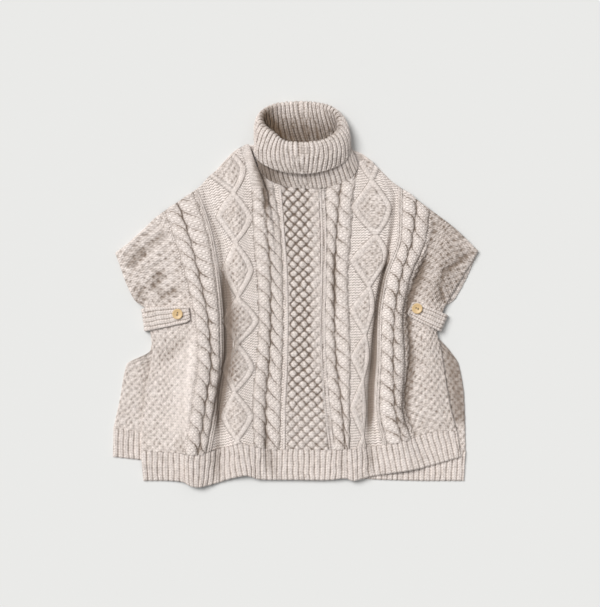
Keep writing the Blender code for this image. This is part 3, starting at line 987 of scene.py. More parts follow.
LEVELS = (-210, -110, -60, -10, 90, 190)
EDGE_LEVELS = (-210, -110, -75, -32, -10)
HEIGHT_STATIONS = (0.0, 0.30, 0.60, 0.88, 1.0)
FRONT_WALES = (
    Wale("edge_left", (-305, -373), (-310, -313), (-303, -287, -291, -298, -323), (-361, 83),
         5, (9.6, 9.6, 9.6, 9.6, 9.5)),
    Wale("moss_left", (-271, -373), (-271, -315), (-269, -259, -264, -275, -305), (-325, 111),
         5, (13, 14, 12, 12, 9.5)),
    Wale("rope_left_start", (-229, -375), (-229, -318), (-229, -221, -216, -213, -235), (-279, 155),
         8, (18, 20, 17, 14, 9.5)),
    Wale("crest_left", (-211, -383), (-211, -320), (-207, -195, -194, -197, -219), (-257, 171),
         15, (26, 28, 23, 16, 9.5)),
    Wale("groove_left", (-195, -386), (-192, -320), (-179, -168, -173, -181, -204), (-235, 186),
         15, (24, 25, 23, 17, 9.5)),
    Wale("rope_left_end", (-173, -382), (-165, -311), (-161, -149, -150, -153, -165, -188),
         (-197, 212), 10, (17, 20, 19, 16, 9.5)),
    Wale("crease_left", (-155, -377), (-151, -307), (-154, -139, -139, -139, -149, -181),
         (-187, 221), 7, (10.5, 9.6, 10, 12, 9.5)),
    Wale("diamond_left_start", (-137, -371), (-139, -305), (-145, -127, -127, -129, -141, -169),
         (-175, 235), 9, (14, 14, 14, 14, 9.5)),
    Wale("diamond_left_middle", (-99, -363), (-109, -297), (-119, -123, -118, -111, -113, -125),
         (-139, 264), 14, (22, 24, 22, 17, 9.5)),
    Wale("inner_left_start", (-73, -370), (-71, -307), (-83, -79, -76, -75, -87, -99),
         (-111, 293), 11, (17, 20, 20, 18, 10)),
    Wale("inner_left_groove", (-51, -371), (-55, -309), (-58, -52, -50, -49, -53, -61),
         (-95, 301), 9.6, (12, 17, 20, 24, 15)),
    Wale("hollow_left", (-39, -371), (-39, -311), (-43, -37, -36, -35, -39, -52),
         (-77.5, 251), 9.6, (11.5, 16, 18.5, 14, 14)),
    Wale("rib_left", (-25, -371), (-23, -310), (-29, -21, -20, -20, -24, -30),
         (-50, 223), 9.6, (13, 16.5, 19, 15, 15)),
    Wale("honeycomb_start", (-13, -371), (-13, -309), (-15, -11, -11, -11, -15, -19),
         (-25, 209), 9.6, (14, 17, 19, 15, 16)),
    Wale("honeycomb_end", (51, -372), (51, -311), (47, 45, 45, 45, 45, 41),
         (41, 206), 9.6, (15, 17, 19, 16, 16)),
    Wale("inner_right_start", (71, -371), (75, -311), (62, 53, 53, 53, 55, 55),
         (61, 209), 10.5, (16, 17.5, 19, 18, 16)),
    Wale("inner_right_groove", (99, -368), (99, -309), (89, 81, 79, 77, 77, 87),
         (98, 228), 12, (18, 19, 20, 20, 15)),
    Wale("inner_right_end", (115, -373), (111, -309), (109, 111, 108, 105, 105, 118),
         (129, 266), 14, (20, 22, 21, 19, 12)),
    Wale("diamond_right_middle", (133, -369), (131, -307), (135, 145, 147, 149, 153, 153),
         (145, 272), 13, (17, 20, 20, 18, 9.5)),
    Wale("diamond_right_end", (147, -365), (141, -305), (141, 151, 156, 161, 181, 189),
         (171, 247), 11, (14, 16, 17, 16, 9.5)),
    Wale("crease_right", (157, -363), (149, -304), (150, 157, 162, 166, 187, 199),
         (183, 235), 10, (10.5, 9.6, 9.8, 12, 9.5)),
    Wale("rope_right_start", (185, -359), (175, -301), (163, 165, 168, 171, 195, 209),
         (195, 225), 12, (15, 17, 17, 15, 9.5)),
    Wale("groove_right", (225, -353), (213, -294), (197, 195, 197, 201, 225, 237),
         (229, 201), 14, (20, 24, 23, 18, 9.5)),
    Wale("rope_right_end", (251, -348), (233, -288), (215, 223, 219, 217, 257), (265, 174),
         12, (16, 17, 18, 17, 9.5)),
    Wale("valley_right", (265, -344), (243, -285), (221, 233, 229, 231, 267), (285, 159),
         10, (12, 10, 11, 12, 9.5)),
    Wale("moss_right", (301, -334), (285, -273), (269, 265, 263, 271, 303), (319, 133),
         10, (13, 16, 17, 15, 9.5)),
    Wale("edge_right", (331, -325), (323, -273), (308, 292, 284, 296, 308), (366, 87),
         9.6, (9.6, 9.6, 9.8, 9.8, 9.5)),
)
WALE_NUMBER = {wale.name: number for number, wale in enumerate(FRONT_WALES)}


PATTERN_LEVELS = (-307, -221, -131, -51, 29, 119, 209, 289)
PATTERN_LINES = {
    "rope_1": (-219, -207, -195, -201, -219, -245, -283, -331),
    "groove_left": (-192, -179, -168, -174, -190, -213, -247, -291),
    "rope_2_end": (-176, -161, -149, -151, -159, -175, -207, -251),
    "line_left": (-171, -156, -146, -147, -154, -169, -199, -235),
    "diamond_left_low": (-147, -149, -146, -145, -145, -151, -173, -211),
    "diamond_left": (-115, -123, -118, -115, -117, -121, -124, -147),
    "diamond_left_high": (-83, -87, -84, -76, -86, -87, -93, -111),
    "rope_3": (-83, -86, -78, -74, -77, -85, -88, -109),
    "groove_inner_left": (-59, -59, -52, -49, -49, -56, -63, -87),
    "rope_4_end": (-31, -29, -26, -24, -25, -29, -43, -67),
    "line_inner_left": (-23, -22, -18, -17, -18, -24, -31, -41),
    "honeycomb": (-17, -17, -13, -12, -13, -20, -27, -37),
    "honeycomb_end": (65, 57, 51, 49, 50, 49, 47, 45),
    "line_inner_right": (73, 63, 56, 54, 56, 57, 53, 49),
    "rope_5": (77, 66, 59, 57, 60, 62, 60, 57),
    "groove_inner_right": (99, 92, 81, 78, 78, 82, 89, 99),
    "rope_6_end": (109, 109, 110, 108, 105, 111, 117, 129),
    "diamond_right_low": (113, 111, 112, 110, 111, 112, 115, 125),
    "diamond_right": (137, 133, 137, 142, 149, 161, 155, 143),
    "diamond_right_high": (143, 140, 146, 153, 171, 195, 185, 169),
    "line_right": (179, 162, 166, 167, 178, 207, 209, 193),
    "rope_7": (185, 167, 170, 170, 181, 211, 211, 195),
    "groove_right": (217, 198, 195, 197, 209, 235, 243, 217),
    "rope_8_end": (239, 214, 219, 215, 229, 263, 271, 249),
}


@dataclass(frozen=True)
class Fold:
    """A soft trough or ridge that runs along a path, in millimetres, with the painted shade along it."""

    name: str
    path: tuple[tuple[float, float], ...]
    reach: float
    lift: float
    shade: float
    taper: float = 30.0


# Painted light on the left crest: its gap shade is taken away, and its relief is calmed too.
LIT_CALM_CREST = (
    Fold("calm_crest", ((-210, -60), (-214, -130), (-227, -215), (-240, -308)), 20, 0.0, 0.62, 60),
)
# Troughs and ridges with painted shade in their floors; those that lift nothing are painted shade alone.
FRONT_FOLDS = (
    Fold("crease_left", ((-145, 72), (-138, 10), (-133, -40), (-133, -110), (-143, -180),
                         (-153, -225), (-156, -290)), 12, -2.0, 1.18, 80),
    Fold("crease_left_moss", ((-126, -14), (-123, -60), (-121, -100), (-126, -140), (-134, -188)),
         11, 0.0, 0.46, 20),
    Fold("crease_right", ((189, 96), (173, 25), (164, -21), (158, -80), (157, -130), (151, -185),
                          (150, -235), (146, -290)), 5.5, -1.5, 1.12, 60),
    Fold("valley_right", ((263, 85), (241, 20), (221, -30), (223, -90), (231, -130), (225, -175),
                          (217, -230), (221, -285)), 10, -2.0, 0.62),
    Fold("collar_left", ((-86, 290), (-66, 229), (-58, 200), (-56, 150)), 8, -3.5, 1.0, 40),
    Fold("collar_right", ((118, 292), (112, 262), (96, 238)), 9, 0.0, 0.45, 14),
    Fold("right_side", ((290, 120), (280, 0), (270, -100), (285, -300)), 55, 0.0, 0.10, 40),
    Fold("right_sleeve", ((268, 186), (318, 112), (302, 40), (280, -30)), 38, 0.0, 0.42),
    Fold("inner_left", ((-61, -250), (-58, -300), (-50, -360)), 7, -1.0, 0.35),
    Fold("inner_right", ((76, 90), (77, 20), (79, -40)), 5, -1.0, 0.45),
    Fold("sleeve_dip", ((-333, 50), (-322, 72), (-298, 94)), 13, -2.5, 0.62, 16),
    Fold("sleeve_fold", ((-322, 72), (-290, 100), (-252, 128)), 8, -1.5, 0.34, 24),
    Fold("sleeve_hollow", ((-264, 50), (-278, 28), (-290, 4)), 12, -2.0, 0.52, 14),
    Fold("sleeve_lower", ((-302, 22), (-314, -2), (-322, -26)), 12, -1.5, 0.42, 14),
    Fold("sleeve_at_tab", ((-282, -6), (-256, 0), (-228, 14)), 11, -1.5, 0.40, 16),
    Fold("sleeve_swell", ((-312, 44), (-300, 64), (-262, 84)), 13, 2.5, 0.0, 20),
    Fold("moss_left_lower", ((-212, -78), (-240, -105), (-274, -145)), 14, -1.5, 0.25),
    Fold("moss_right_upper", ((366, 93), (330, 68), (296, 45), (289, 20), (295, -20)),
         6, -2.0, 0.60, 14),
    Fold("moss_right_middle", ((262, 70), (250, 40), (245, 5)), 10, -1.0, 0.30),
    Fold("ridge_right", ((285, 90), (290, 45), (278, 5)), 13, 2.0, 0.0),
    Fold("hem_left", ((-154, -290), (-158, -330), (-156, -380)), 9, -1.5, 0.45),
    Fold("hem_inner_left", ((-58, -300), (-50, -330), (-38, -375)), 12, -1.5, 0.30),
    Fold("hem_inner_right", ((92, -300), (92, -340), (90, -370)), 6, -1.0, 0.30),
    Fold("hem_right", ((146, -290), (148, -330), (146, -365)), 9, -1.5, 0.40),
)
# Painted shade on the back beside and under the front's edges.
BACK_FOLDS = (
    Fold("under_front_right", ((288, -40), (312, -110), (322, -170), (334, -270)), 20, 0.0, 0.85),
    Fold("under_front_left", ((-296, -90), (-300, -180), (-306, -250)), 9, 0.0, 0.25),
)


def fold_cloth(points: np.ndarray, folds: Sequence[Fold]) -> tuple[np.ndarray, np.ndarray]:
    """Return how far the folds lift each point, and how shaded each lies, in millimetres.

    Args:
        points: the cloth's points, in millimetres.
        folds: the folds to press in.

    Returns:
        The lift in millimetres, and the shade from 0 to 1.
    """
    lift = np.zeros(points.shape[:2])
    shade = np.zeros(points.shape[:2])
    for crease in folds:
        nearest = np.full(points.shape[:2], 1e6)
        place = np.zeros(points.shape[:2])
        passed = 0.0
        for start, end in zip(crease.path, crease.path[1:]):
            way = np.subtract(end, start)
            length = float(np.linalg.norm(way))
            aside = points[:, :, :2] - np.array(start, float)
            share = np.clip(aside @ way / length**2, 0.0, 1.0)
            distance = np.linalg.norm(aside - share[:, :, None] * way, axis=2)
            place = np.where(distance < nearest, passed + share * length, place)
            nearest = np.minimum(nearest, distance)
            passed += length
        taper = min(crease.taper, 0.5 * passed)
        ends = ease(0.0, taper, place + 1.0) * ease(0.0, taper, passed - place + 1.0)
        weight = np.exp(-((nearest / crease.reach) ** 2)) * ends
        lift += crease.lift * weight
        shade = 1.0 - (1.0 - shade) * (1.0 - crease.shade * weight)
    return lift, shade


@dataclass(frozen=True)
class BackWale:
    """A guide line up the back panel, which lies flat, in millimetres."""

    name: str
    hem: tuple[float, float]
    joint: tuple[float, float]
    x: tuple[float, ...]
    top: tuple[float, float]


BACK_LEVELS = (-210, -140, -112, -75, -32, -10)
BACK_WALES = (
    BackWale("edge_left", (-366, -325), (-365, -269), (-352, -338, -291, -286, -291, -318),
             (-357, 82)),
    BackWale("side_left", (-313, -331), (-313, -275), (-300, -285, -262, -262, -266, -275), (-301, 134)),
    BackWale("middle_left", (-191, -343), (-191, -285), (-190, -190, -190, -190, -190, -190),
             (-191, 215)),
    BackWale("neck_left", (-67, -355), (-67, -297), (-72, -76, -78, -80, -83, -84), (-95, 299)),
    BackWale("middle", (9, -361), (9, -303), (9, 9, 9, 9, 9, 9), (9, 295)),
    BackWale("neck_right", (177, -371), (177, -313), (160, 150, 145, 140, 134, 130), (113, 289)),
    BackWale("middle_right", (259, -373), (259, -315), (248, 240, 232, 224, 225, 226), (209, 213)),
    BackWale("edge_right", (337, -373), (341, -315), (338, 327, 309, 281, 290, 318), (366, 86)),
)


@dataclass(frozen=True)
class Ring:
    """One tilted oval of the roll collar, through the middle of its wall, in millimetres."""

    name: str
    centre_x: float
    half_width: float
    y_front: float
    y_back: float
    z_front: float
    z_back: float
    squareness: float


COLLAR_RINGS = (
    Ring("neck_seam", 26, 96, 212, 297, 14, 7.6, 2.0),
    Ring("stand_middle", 16, 90, 249, 333, 26, 8.4, 2.2),
    Ring("stand_top", 9, 81, 287, 369, 37.5, 9.2, 2.4),
    Ring("rim_inside", 8, 78.5, 297, 379, 41.5, 9.0, 2.45),
    Ring("rim_crest", 8, 82, 299, 383.5, 45.5, 5.8, 2.45),
    Ring("rim_outside", 9, 89, 291, 378, 46.5, 2.7, 2.45),
    Ring("fold_middle", 10, 95.5, 268, 358, 43, 2.6, 2.2),
    Ring("fold_edge", 12, 94, 242, 326, 33.5, 2.6, 1.85),
)


def wale_lines(wales: Sequence[Wale], rows: int) -> np.ndarray:
    """Return the points of each front guide line, from the joint up, in millimetres.

    Args:
        wales: the lines, from left to right.
        rows: how many rows.

    Returns:
        The lines' points, in millimetres.
    """
    share = np.linspace(0.0, 1.0, rows)
    lines = []
    for wale in wales:
        levels = EDGE_LEVELS if wale.name.startswith("edge") else LEVELS
        count = len(wale.x)
        knots = [wale.joint[1], *levels[:count], wale.top[1]]
        values = [wale.joint[0], *wale.x, wale.top[0]]
        y = wale.joint[1] + (wale.top[1] - wale.joint[1]) * share
        x = monotone_curve(knots, np.array(values, float), y)
        z = monotone_curve(HEIGHT_STATIONS, np.array(wale.heights, float), share)
        lines.append(np.stack([x, y, z], axis=1))
    return np.array(lines)


def spread_columns(lines: np.ndarray, places: np.ndarray) -> np.ndarray:
    """Fill in columns between guide lines at the given places.

    Args:
        lines: the guide lines' points.
        places: where to read them.

    Returns:
        The points between the lines.
    """
    count = len(lines)
    flat = monotone_curve(range(count), lines.reshape(count, -1), places)
    return flat.reshape(len(places), *lines.shape[1:])


def neckline(x: np.ndarray) -> np.ndarray:
    """Return the y of the front neckline at x, in millimetres, or nan beyond its ends.

    Args:
        x: places across, in millimetres.

    Returns:
        The neckline at each place.
    """
    seam = COLLAR_RINGS[0]
    half_depth = (seam.y_back - seam.y_front) / 2
    turn = np.linspace(math.pi, 2 * math.pi, 721)
    outward = np.stack([half_depth * np.cos(turn), seam.half_width * np.sin(turn)])
    outward /= np.linalg.norm(outward, axis=0)
    spread = NECKLINE_SIDE_GAP - NECKLINE_FRONT_GAP
    clearance = NECKLINE_FRONT_GAP + spread * np.abs(outward[0])
    line_x = seam.centre_x + seam.half_width * np.cos(turn) + outward[0] * clearance
    line_y = (seam.y_back + seam.y_front) / 2 + half_depth * np.sin(turn) + outward[1] * clearance
    return np.interp(x, line_x, line_y, left=np.nan, right=np.nan)


def fit_neckline(points: np.ndarray) -> np.ndarray:
    """End the wales below the collar on the neckline, easing the cloth under it.

    Args:
        points: the cloth's points, in millimetres.

    Returns:
        The points, clear of the collar.
    """
    share = np.linspace(0.0, 1.0, points.shape[1]) ** 4
    end = neckline(points[:, -1, 0])
    move = np.where(np.isnan(end), 0.0, end - points[:, -1, 1])
    points[:, :, 1] += move[:, None] * share
    return points


def even_places(lines: np.ndarray, first: int, last: int, columns: int) -> np.ndarray:
    """Return places between two guide lines that are spread evenly over the cloth.

    Args:
        lines: the guide lines' points.
        first: the number of the first line.
        last: the number of the last.
        columns: how many places to return.

    Returns:
        Places, as line numbers with a fraction.
    """
    fine = np.linspace(first, last, FINE_PER_LINE * (last - first) + 1)
    cloth = spread_columns(lines[:, ::ROW_STRIDE], fine)
    steps = np.linalg.norm(np.diff(cloth, axis=0), axis=2)
    length = np.concatenate([[0.0], np.cumsum(steps.mean(axis=1) + 0.35 * steps.max(axis=1))])
    return np.interp(np.linspace(0.0, length[-1], columns), length, fine)


def running_length(points: np.ndarray, axis: int) -> np.ndarray:
    """Return the length of cloth from the grid's start along one axis.

    Args:
        points: the cloth's points, in millimetres.
        axis: 0 for across, 1 for along.

    Returns:
        The length at each point, in millimetres.
    """
    steps = np.linalg.norm(np.diff(points, axis=axis), axis=2)
    total = np.cumsum(steps, axis=axis)
    pad = [(0, 0), (0, 0)]
    pad[axis] = (1, 0)
    return np.pad(total, pad)


# ---------------------------------------------------------------------------
# Pieces
# ---------------------------------------------------------------------------


@dataclass(frozen=True)
class Stretch:
    """One part of the front panel between two creases."""

    name: str
    first: str
    last: str
    columns: int
    rows: int
    flat: tuple[float, float]
    area: float


@dataclass
class Bands:
    """Where each pattern lies across the front, at every point of a grid."""

    x: np.ndarray
    y: np.ndarray

    def __post_init__(self) -> None:
        """Work out each line's place at every height."""
        table = np.array([PATTERN_LINES[name] for name in PATTERN_LINES], float).T
        heights = np.clip(self.y.ravel(), PATTERN_LEVELS[0] - 20, PATTERN_LEVELS[-1] + 15)
        lines = monotone_curve(PATTERN_LEVELS, table, heights)
        shape = self.y.shape
        self.lines = {name: lines[:, k].reshape(shape) for k, name in enumerate(PATTERN_LINES)}

    def between(self, start: str, end: str) -> tuple[np.ndarray, np.ndarray]:
        """Return the place between two lines, from -1 to 1, and half their distance.

        Args:
            start: the first line.
            end: the last line.

        Returns:
            The place at each point, then half the distance in millimetres.
        """
        low, high = self.lines[start], self.lines[end]
        half = np.maximum((high - low) / 2, 1.0)
        return (self.x - (low + high) / 2) / half, half

    def beside(self, line: str, offset: float, half_width: float) -> np.ndarray:
        """Return the place across a narrow line, from -1 to 1."""
        return (self.x - self.lines[line] - offset) / half_width


@dataclass
class FrontPanel:
    """The cable knit front, in three stretches that meet in the floors of its two creases."""

    finish: bpy.types.Material
    step: int = 6
    sink: float = 2.2
    gather_from: float = 212.0
    end_calm: float = 8.0
    stretches: tuple[Stretch, ...] = (
        Stretch("front_left_side", "edge_left", "crease_left", 150, 402, (0.205, 0.53), 0.088),
        Stretch("front_middle", "crease_left", "crease_right", 228, 402, (0.36, 0.60), 0.195),
        Stretch("front_right_side", "crease_right", "edge_right", 150, 402, (0.20, 0.53), 0.084),
    )
    ropes: tuple[tuple[str, str, float], ...] = (
        ("rope_1", "groove_left", 0.25), ("groove_left", "rope_2_end", 0.70),
        ("rope_3", "groove_inner_left", 0.10), ("groove_inner_left", "rope_4_end", 0.55),
        ("rope_5", "groove_inner_right", 0.40), ("groove_inner_right", "rope_6_end", 0.90),
        ("rope_7", "groove_right", 0.30), ("groove_right", "rope_8_end", 0.80),
    )
    rope: Rope = Rope()
    moss: Moss = Moss()
    honeycomb: Honeycomb = Honeycomb()
    line: RibLine = RibLine()
    double_line: RibLine = RibLine(wales=2)
    left_diamonds: Diamonds = Diamonds((-387, -291, -195, -99, -5, 103, 203, 303))
    right_diamonds: Diamonds = Diamonds((-383, -283, -171, -81, 15, 119, 229, 339))

    def build(self) -> list[bpy.types.Object]:
        """Build the stretches.

        Returns:
            The pieces.
        """
        lines = wale_lines(FRONT_WALES, self.stretches[0].rows + 1)
        made = []
        for stretch in self.stretches:
            piece = self.stretch(lines, stretch)
            made.append(dress(piece, self.finish, Slot.PANEL, ["front_panel"]))
        return made

    def stretch(self, lines: np.ndarray, stretch: Stretch) -> bpy.types.Object:
        """Knit one stretch and close it with its underside.

        Args:
            lines: the guide lines' points.
            stretch: which stretch of the panel.

        Returns:
            The stretch, as a closed piece.
        """
        first, last = WALE_NUMBER[stretch.first], WALE_NUMBER[stretch.last]
        places = even_places(lines, first, last, stretch.columns + 1)
        points = fit_neckline(spread_columns(lines, places))
        fabric = Fabric.over(points, stretch.rows // 3)
        self.pattern(fabric, points)
        fabric.grain()
        height = fabric.height - self.sink - self.edges(stretch, fabric, points)
        lift, shade = fold_cloth(points, FRONT_FOLDS)
        lowest = 2 * PANEL_WALL / MM - points[:, :, 2] + LAY_GAP
        inner = ease(0.0, self.end_calm, edge_distance(fabric.along))
        points[:, :, 2] += np.maximum(lift, np.minimum(lowest, 0.0)) * inner
        top = points + grid_normals(points) * height[:, :, None]
        spacing = float(fabric.across[-1, 0]) / stretch.columns
        # Painted shade from the stitch gaps, the fold floors and the folds' shade.
        painted_shade = deepen(fabric.gap_shade, fold_floor_shade(points, spacing) + FOLD_SHADE * shade)
        under = points.copy()
        under[:, :, 2] -= PANEL_WALL / MM
        return shell(stretch.name, fabric.surface(top, painted_shade), under * MM, self.step)

    def edges(self, stretch: Stretch, fabric: Fabric, points: np.ndarray) -> np.ndarray:
        """Return how much the cloth thins towards its free edges and its joint.

        Args:
            stretch: which stretch of the panel.
            fabric: the knitting to work on.
            points: the cloth's points, in millimetres.

        Returns:
            What to take off, in millimetres.
        """
        at_neck = ~np.isnan(neckline(points[:, -1:, 0]))
        across, along = fabric.across, fabric.along
        distance = np.minimum(along + JOINT_MARGIN, along[:, -1:] - along + 6.0 * at_neck)
        if stretch.first.startswith("edge"):
            distance = np.minimum(distance, across)
        if stretch.last.startswith("edge"):
            distance = np.minimum(distance, across[-1:] - across)
        return edge_round(distance)

    def pattern(self, fabric: Fabric, points: np.ndarray) -> None:
        """Knit the bands from left to right.

        Args:
            fabric: the stretch as knitting.
            points: its points, in millimetres.
        """
        bands = Bands(points[:, :, 0], points[:, :, 1])
        lines = bands.lines
        at_sides = (bands.x < lines["rope_1"] - 2.5) | (bands.x > lines["rope_8_end"] + 3.0)
        self.moss.knit(fabric, at_sides)
        sway = 0.9 * np.sin(2.0 * math.pi * fabric.along / self.rope.leaf)
        for number, (start, end, phase) in enumerate(self.ropes):
            side, half = bands.between(start, end)
            side = side + sway / half
            groove = 1.0 if number % 2 == 0 else -1.0
            self.rope.knit(fabric, np.abs(side) < 1.0, side, half, phase, groove)
        gathered = (bands.x > lines["rope_3"]) & (bands.x < lines["rope_4_end"])
        fabric.put(gathered & (bands.y > self.gather_from), 1.8, 0.0, 0.08, bands.x / STITCH_WIDTH)
        self.narrow_lines(fabric, bands)
        for low, middle, high, diamonds in (
                ("diamond_left_low", "diamond_left", "diamond_left_high", self.left_diamonds),
                ("diamond_right_low", "diamond_right", "diamond_right_high", self.right_diamonds)):
            offset = bands.x - lines[middle]
            left = np.maximum(lines[middle] - lines[low], 8.0)
            right = np.maximum(lines[high] - lines[middle], 6.0)
            half = np.where(offset < 0, left, right)
            side = offset / half
            inside = np.abs(side) < 1.0 + 3.0 / half
            diamonds.knit(fabric, inside, side, half, bands.y)
        side, half = bands.between("honeycomb", "honeycomb_end")
        strength = 0.25 + 0.75 * np.maximum(ease(0.75, 0.20, side), ease(-140.0, -190.0, bands.y))
        strength = strength * (0.62 + 0.38 * ease(-270.0, -130.0, bands.y))
        across = bands.x - lines["honeycomb"]
        self.honeycomb.knit(fabric, np.abs(side) < 1.0, across, fabric.along, strength)
        # Painted light on the crest, where the gap shade is taken away, with calmer relief there.
        calm = fold_cloth(points, LIT_CALM_CREST)[1] * (bands.x < lines["rope_1"] + 2.0)
        fabric.gap_shade = fabric.gap_shade * (1.0 - calm)
        fabric.height = fabric.height + calm * (1.6 - 0.8 * fabric.height)

    def narrow_lines(self, fabric: Fabric, bands: Bands) -> None:
        """Knit the single and double rib lines between the bands.

        Args:
            fabric: the stretch as knitting.
            bands: where its patterns run.
        """
        for name, offset, half, line in (
                ("line_left", 0.0, 4.4, self.double_line),
                ("line_inner_left", 0.0, 2.9, self.line),
                ("line_inner_right", -4.0, 2.3, self.line),
                ("line_inner_right", 3.2, 2.3, self.line),
                ("line_right", 0.5, 4.6, self.double_line)):
            side = bands.beside(name, offset, half)
            line.knit(fabric, np.abs(side) < 1.0, side)


def deepen(gap_shade: np.ndarray, shade: np.ndarray) -> np.ndarray:
    """Return how dark knitting is in shade, where its slits are darker too."""
    shade = np.clip(shade, 0.0, 0.97)
    return 1.0 - (1.0 - np.clip(gap_shade * (1.0 + 1.1 * shade), 0.0, 1.0)) * (1.0 - 0.94 * shade)


def edge_round(distance: np.ndarray, reach: float = EDGE_REACH, drop: float = EDGE_DROP) -> np.ndarray:
    """Return how much cloth thins near its edge, as a quarter circle.

    Args:
        distance: how far each point is from the edge, in millimetres.
        reach: how far in the rounding goes.
        drop: how much it takes off at the edge itself.

    Returns:
        What to take off at each point, in millimetres.
    """
    inward = np.clip(1.0 - distance / reach, 0.0, 1.0)
    return drop * (1.0 - np.sqrt(1.0 - inward * inward))


def edge_distance(along: np.ndarray) -> np.ndarray:
    """Return how far each point is from the nearer end of its column."""
    return np.minimum(along, along[:, -1:] - along)


@dataclass
class BackPanel:
    """The back, whose inside shows past the front's edges."""

    finish: bpy.types.Material
    rows: int = 282
    ruler_row: int = 40
    column_counts: tuple[int, int, int] = (45, 63, 57)
    sink: float = 2.2
    step: int = 3
    flat: tuple[float, float] = (0.74, 0.60)
    area: float = 0.37
    moss: Moss = Moss()

    def build(self) -> bpy.types.Object:
        """Returns:
            The panel.
        """
        points = self.points()
        fabric = Fabric.over(points, self.ruler_row)
        self.moss.knit(fabric, np.ones_like(fabric.across, bool))
        fabric.grain()
        top = points.copy()
        top[:, :, 2] += fabric.height - self.sink - self.edges(fabric)
        # Painted shade in the stitch gaps and under the front's edges.
        painted_shade = deepen(fabric.gap_shade, FOLD_SHADE * fold_cloth(points, BACK_FOLDS)[1])
        under = points.copy()
        under[:, :, 2] = 0.0
        piece = shell("back_panel_knit", fabric.surface(top, painted_shade), under * MM, self.step)
        dress(piece, self.finish, Slot.PANEL, ["back_panel"])
        return piece

    def points(self) -> np.ndarray:
        """Return the back's top points, fine at its sides and coarse where the front covers it.

        Returns:
            Its points, in millimetres.
        """
        share = np.linspace(0.0, 1.0, self.rows + 1)
        lines = []
        for wale in BACK_WALES:
            y = wale.joint[1] + (wale.top[1] - wale.joint[1]) * share
            knots = [wale.joint[1], *BACK_LEVELS, wale.top[1]]
            x = monotone_curve(knots, np.array([wale.joint[0], *wale.x, wale.top[0]], float), y)
            lines.append(np.stack([x, y, np.full_like(x, PANEL_WALL / MM)], axis=1))
        places = self.places(len(BACK_WALES) - 1)
        return spread_columns(np.array(lines), places)

    def places(self, last: int) -> np.ndarray:
        """Return the columns' places: many near the two sides, few between them.

        Args:
            last: the last guide line's number.

        Returns:
            The places, by column.
        """
        left, covered, right = self.column_counts
        side = np.linspace(0.0, 1.0, left)[:-1]
        middle = np.linspace(1.0, last - 1.0, covered)[:-1]
        return np.concatenate([side, middle, last - 1.0 + np.linspace(0.0, 1.0, right)])

    def edges(self, fabric: Fabric) -> np.ndarray:
        """Return how much the cloth thins towards its free edges.

        Args:
            fabric: the panel as knitting.

        Returns:
            What to take off, in millimetres.
        """
        across, along = fabric.across, fabric.along
        distance = np.minimum(np.minimum(across, across[-1:] - across), along[:, -1:] - along)
        return edge_round(distance)


@dataclass
class Hem:
    """A band of two by two rib at the lower edge of a panel."""

    name: str
    node: str
    finish: bpy.types.Material
    flat: tuple[float, float]
    rests_on: str
    columns: int = 540
    rows: int = 36
    step: int = 6
    sink: float = 2.4
    edge_reach: float = 3.0
    back_clearance: float = 9.0
    descent: float = 16.0
    rib: TwoByTwo = TwoByTwo(dark=0.80)

    def build(self, lines: np.ndarray) -> bpy.types.Object:
        """Build the hem on its guide lines.

        Args:
            lines: for each guide line, the hem edge and the joint, in millimetres.

        Returns:
            The rib.
        """
        places = even_places(np.repeat(lines, ROW_STRIDE, axis=1), 0, len(lines) - 1, self.columns + 1)
        ends = spread_columns(lines, places)
        share = np.linspace(0.0, 1.0, self.rows + 1)[None, :, None]
        points = ends[:, :1] + (ends[:, -1:] - ends[:, :1]) * share
        points = self.rest(points)
        folds = FRONT_FOLDS if self.node == "front_hem_rib" else BACK_FOLDS
        fabric = Fabric.over(points, self.rows // 2)
        self.rib.knit(fabric)
        across, along = fabric.across, fabric.along
        distance = np.minimum(np.minimum(across, across[-1:] - across), along)
        distance = np.minimum(distance, along[:, -1:] - along + JOINT_MARGIN)
        height = fabric.height - self.sink - edge_round(distance, self.edge_reach)
        top = points + grid_normals(points) * height[:, :, None]
        # Painted shade in the rib's valleys and the folds.
        painted_shade = deepen(fabric.gap_shade, FOLD_SHADE * fold_cloth(points, folds)[1])
        under = points.copy()
        under[:, :, 2] -= PANEL_WALL / MM
        piece = shell(self.name, fabric.surface(top, painted_shade), under * MM, self.step)
        dress(piece, self.finish, Slot.RIB, [self.node])
        return piece

    def rest(self, points: np.ndarray) -> np.ndarray:
        """Let the front hem down to the surface beyond the back's hem.

        Args:
            points: the hem's points, in millimetres.

        Returns:
            The points, none of them too low.
        """
        if self.node != "front_hem_rib":
            return points
        back_x = [wale.hem[0] for wale in BACK_WALES]
        back_y = [wale.hem[1] for wale in BACK_WALES]
        beyond = np.interp(points[:, :, 0], back_x, back_y) - self.back_clearance - points[:, :, 1]
        down = ease(0.0, self.descent, beyond) * (PANEL_WALL / MM + 0.1)
        lowest = 2 * PANEL_WALL / MM + 0.5 - down
        points[:, :, 2] = np.maximum(points[:, :, 2], lowest)
        return points


def front_hem_lines() -> np.ndarray:
    """Return the ends of the front hem's guide lines, in millimetres."""
    return np.array([[(*wale.hem, wale.hem_height), (*wale.joint, wale.heights[0])]
                     for wale in FRONT_WALES], float)


def back_hem_lines() -> np.ndarray:
    """Return the ends of the back hem's guide lines, in millimetres."""
    level = PANEL_WALL / MM
    return np.array([[(*wale.hem, level), (*wale.joint, level)] for wale in BACK_WALES], float)


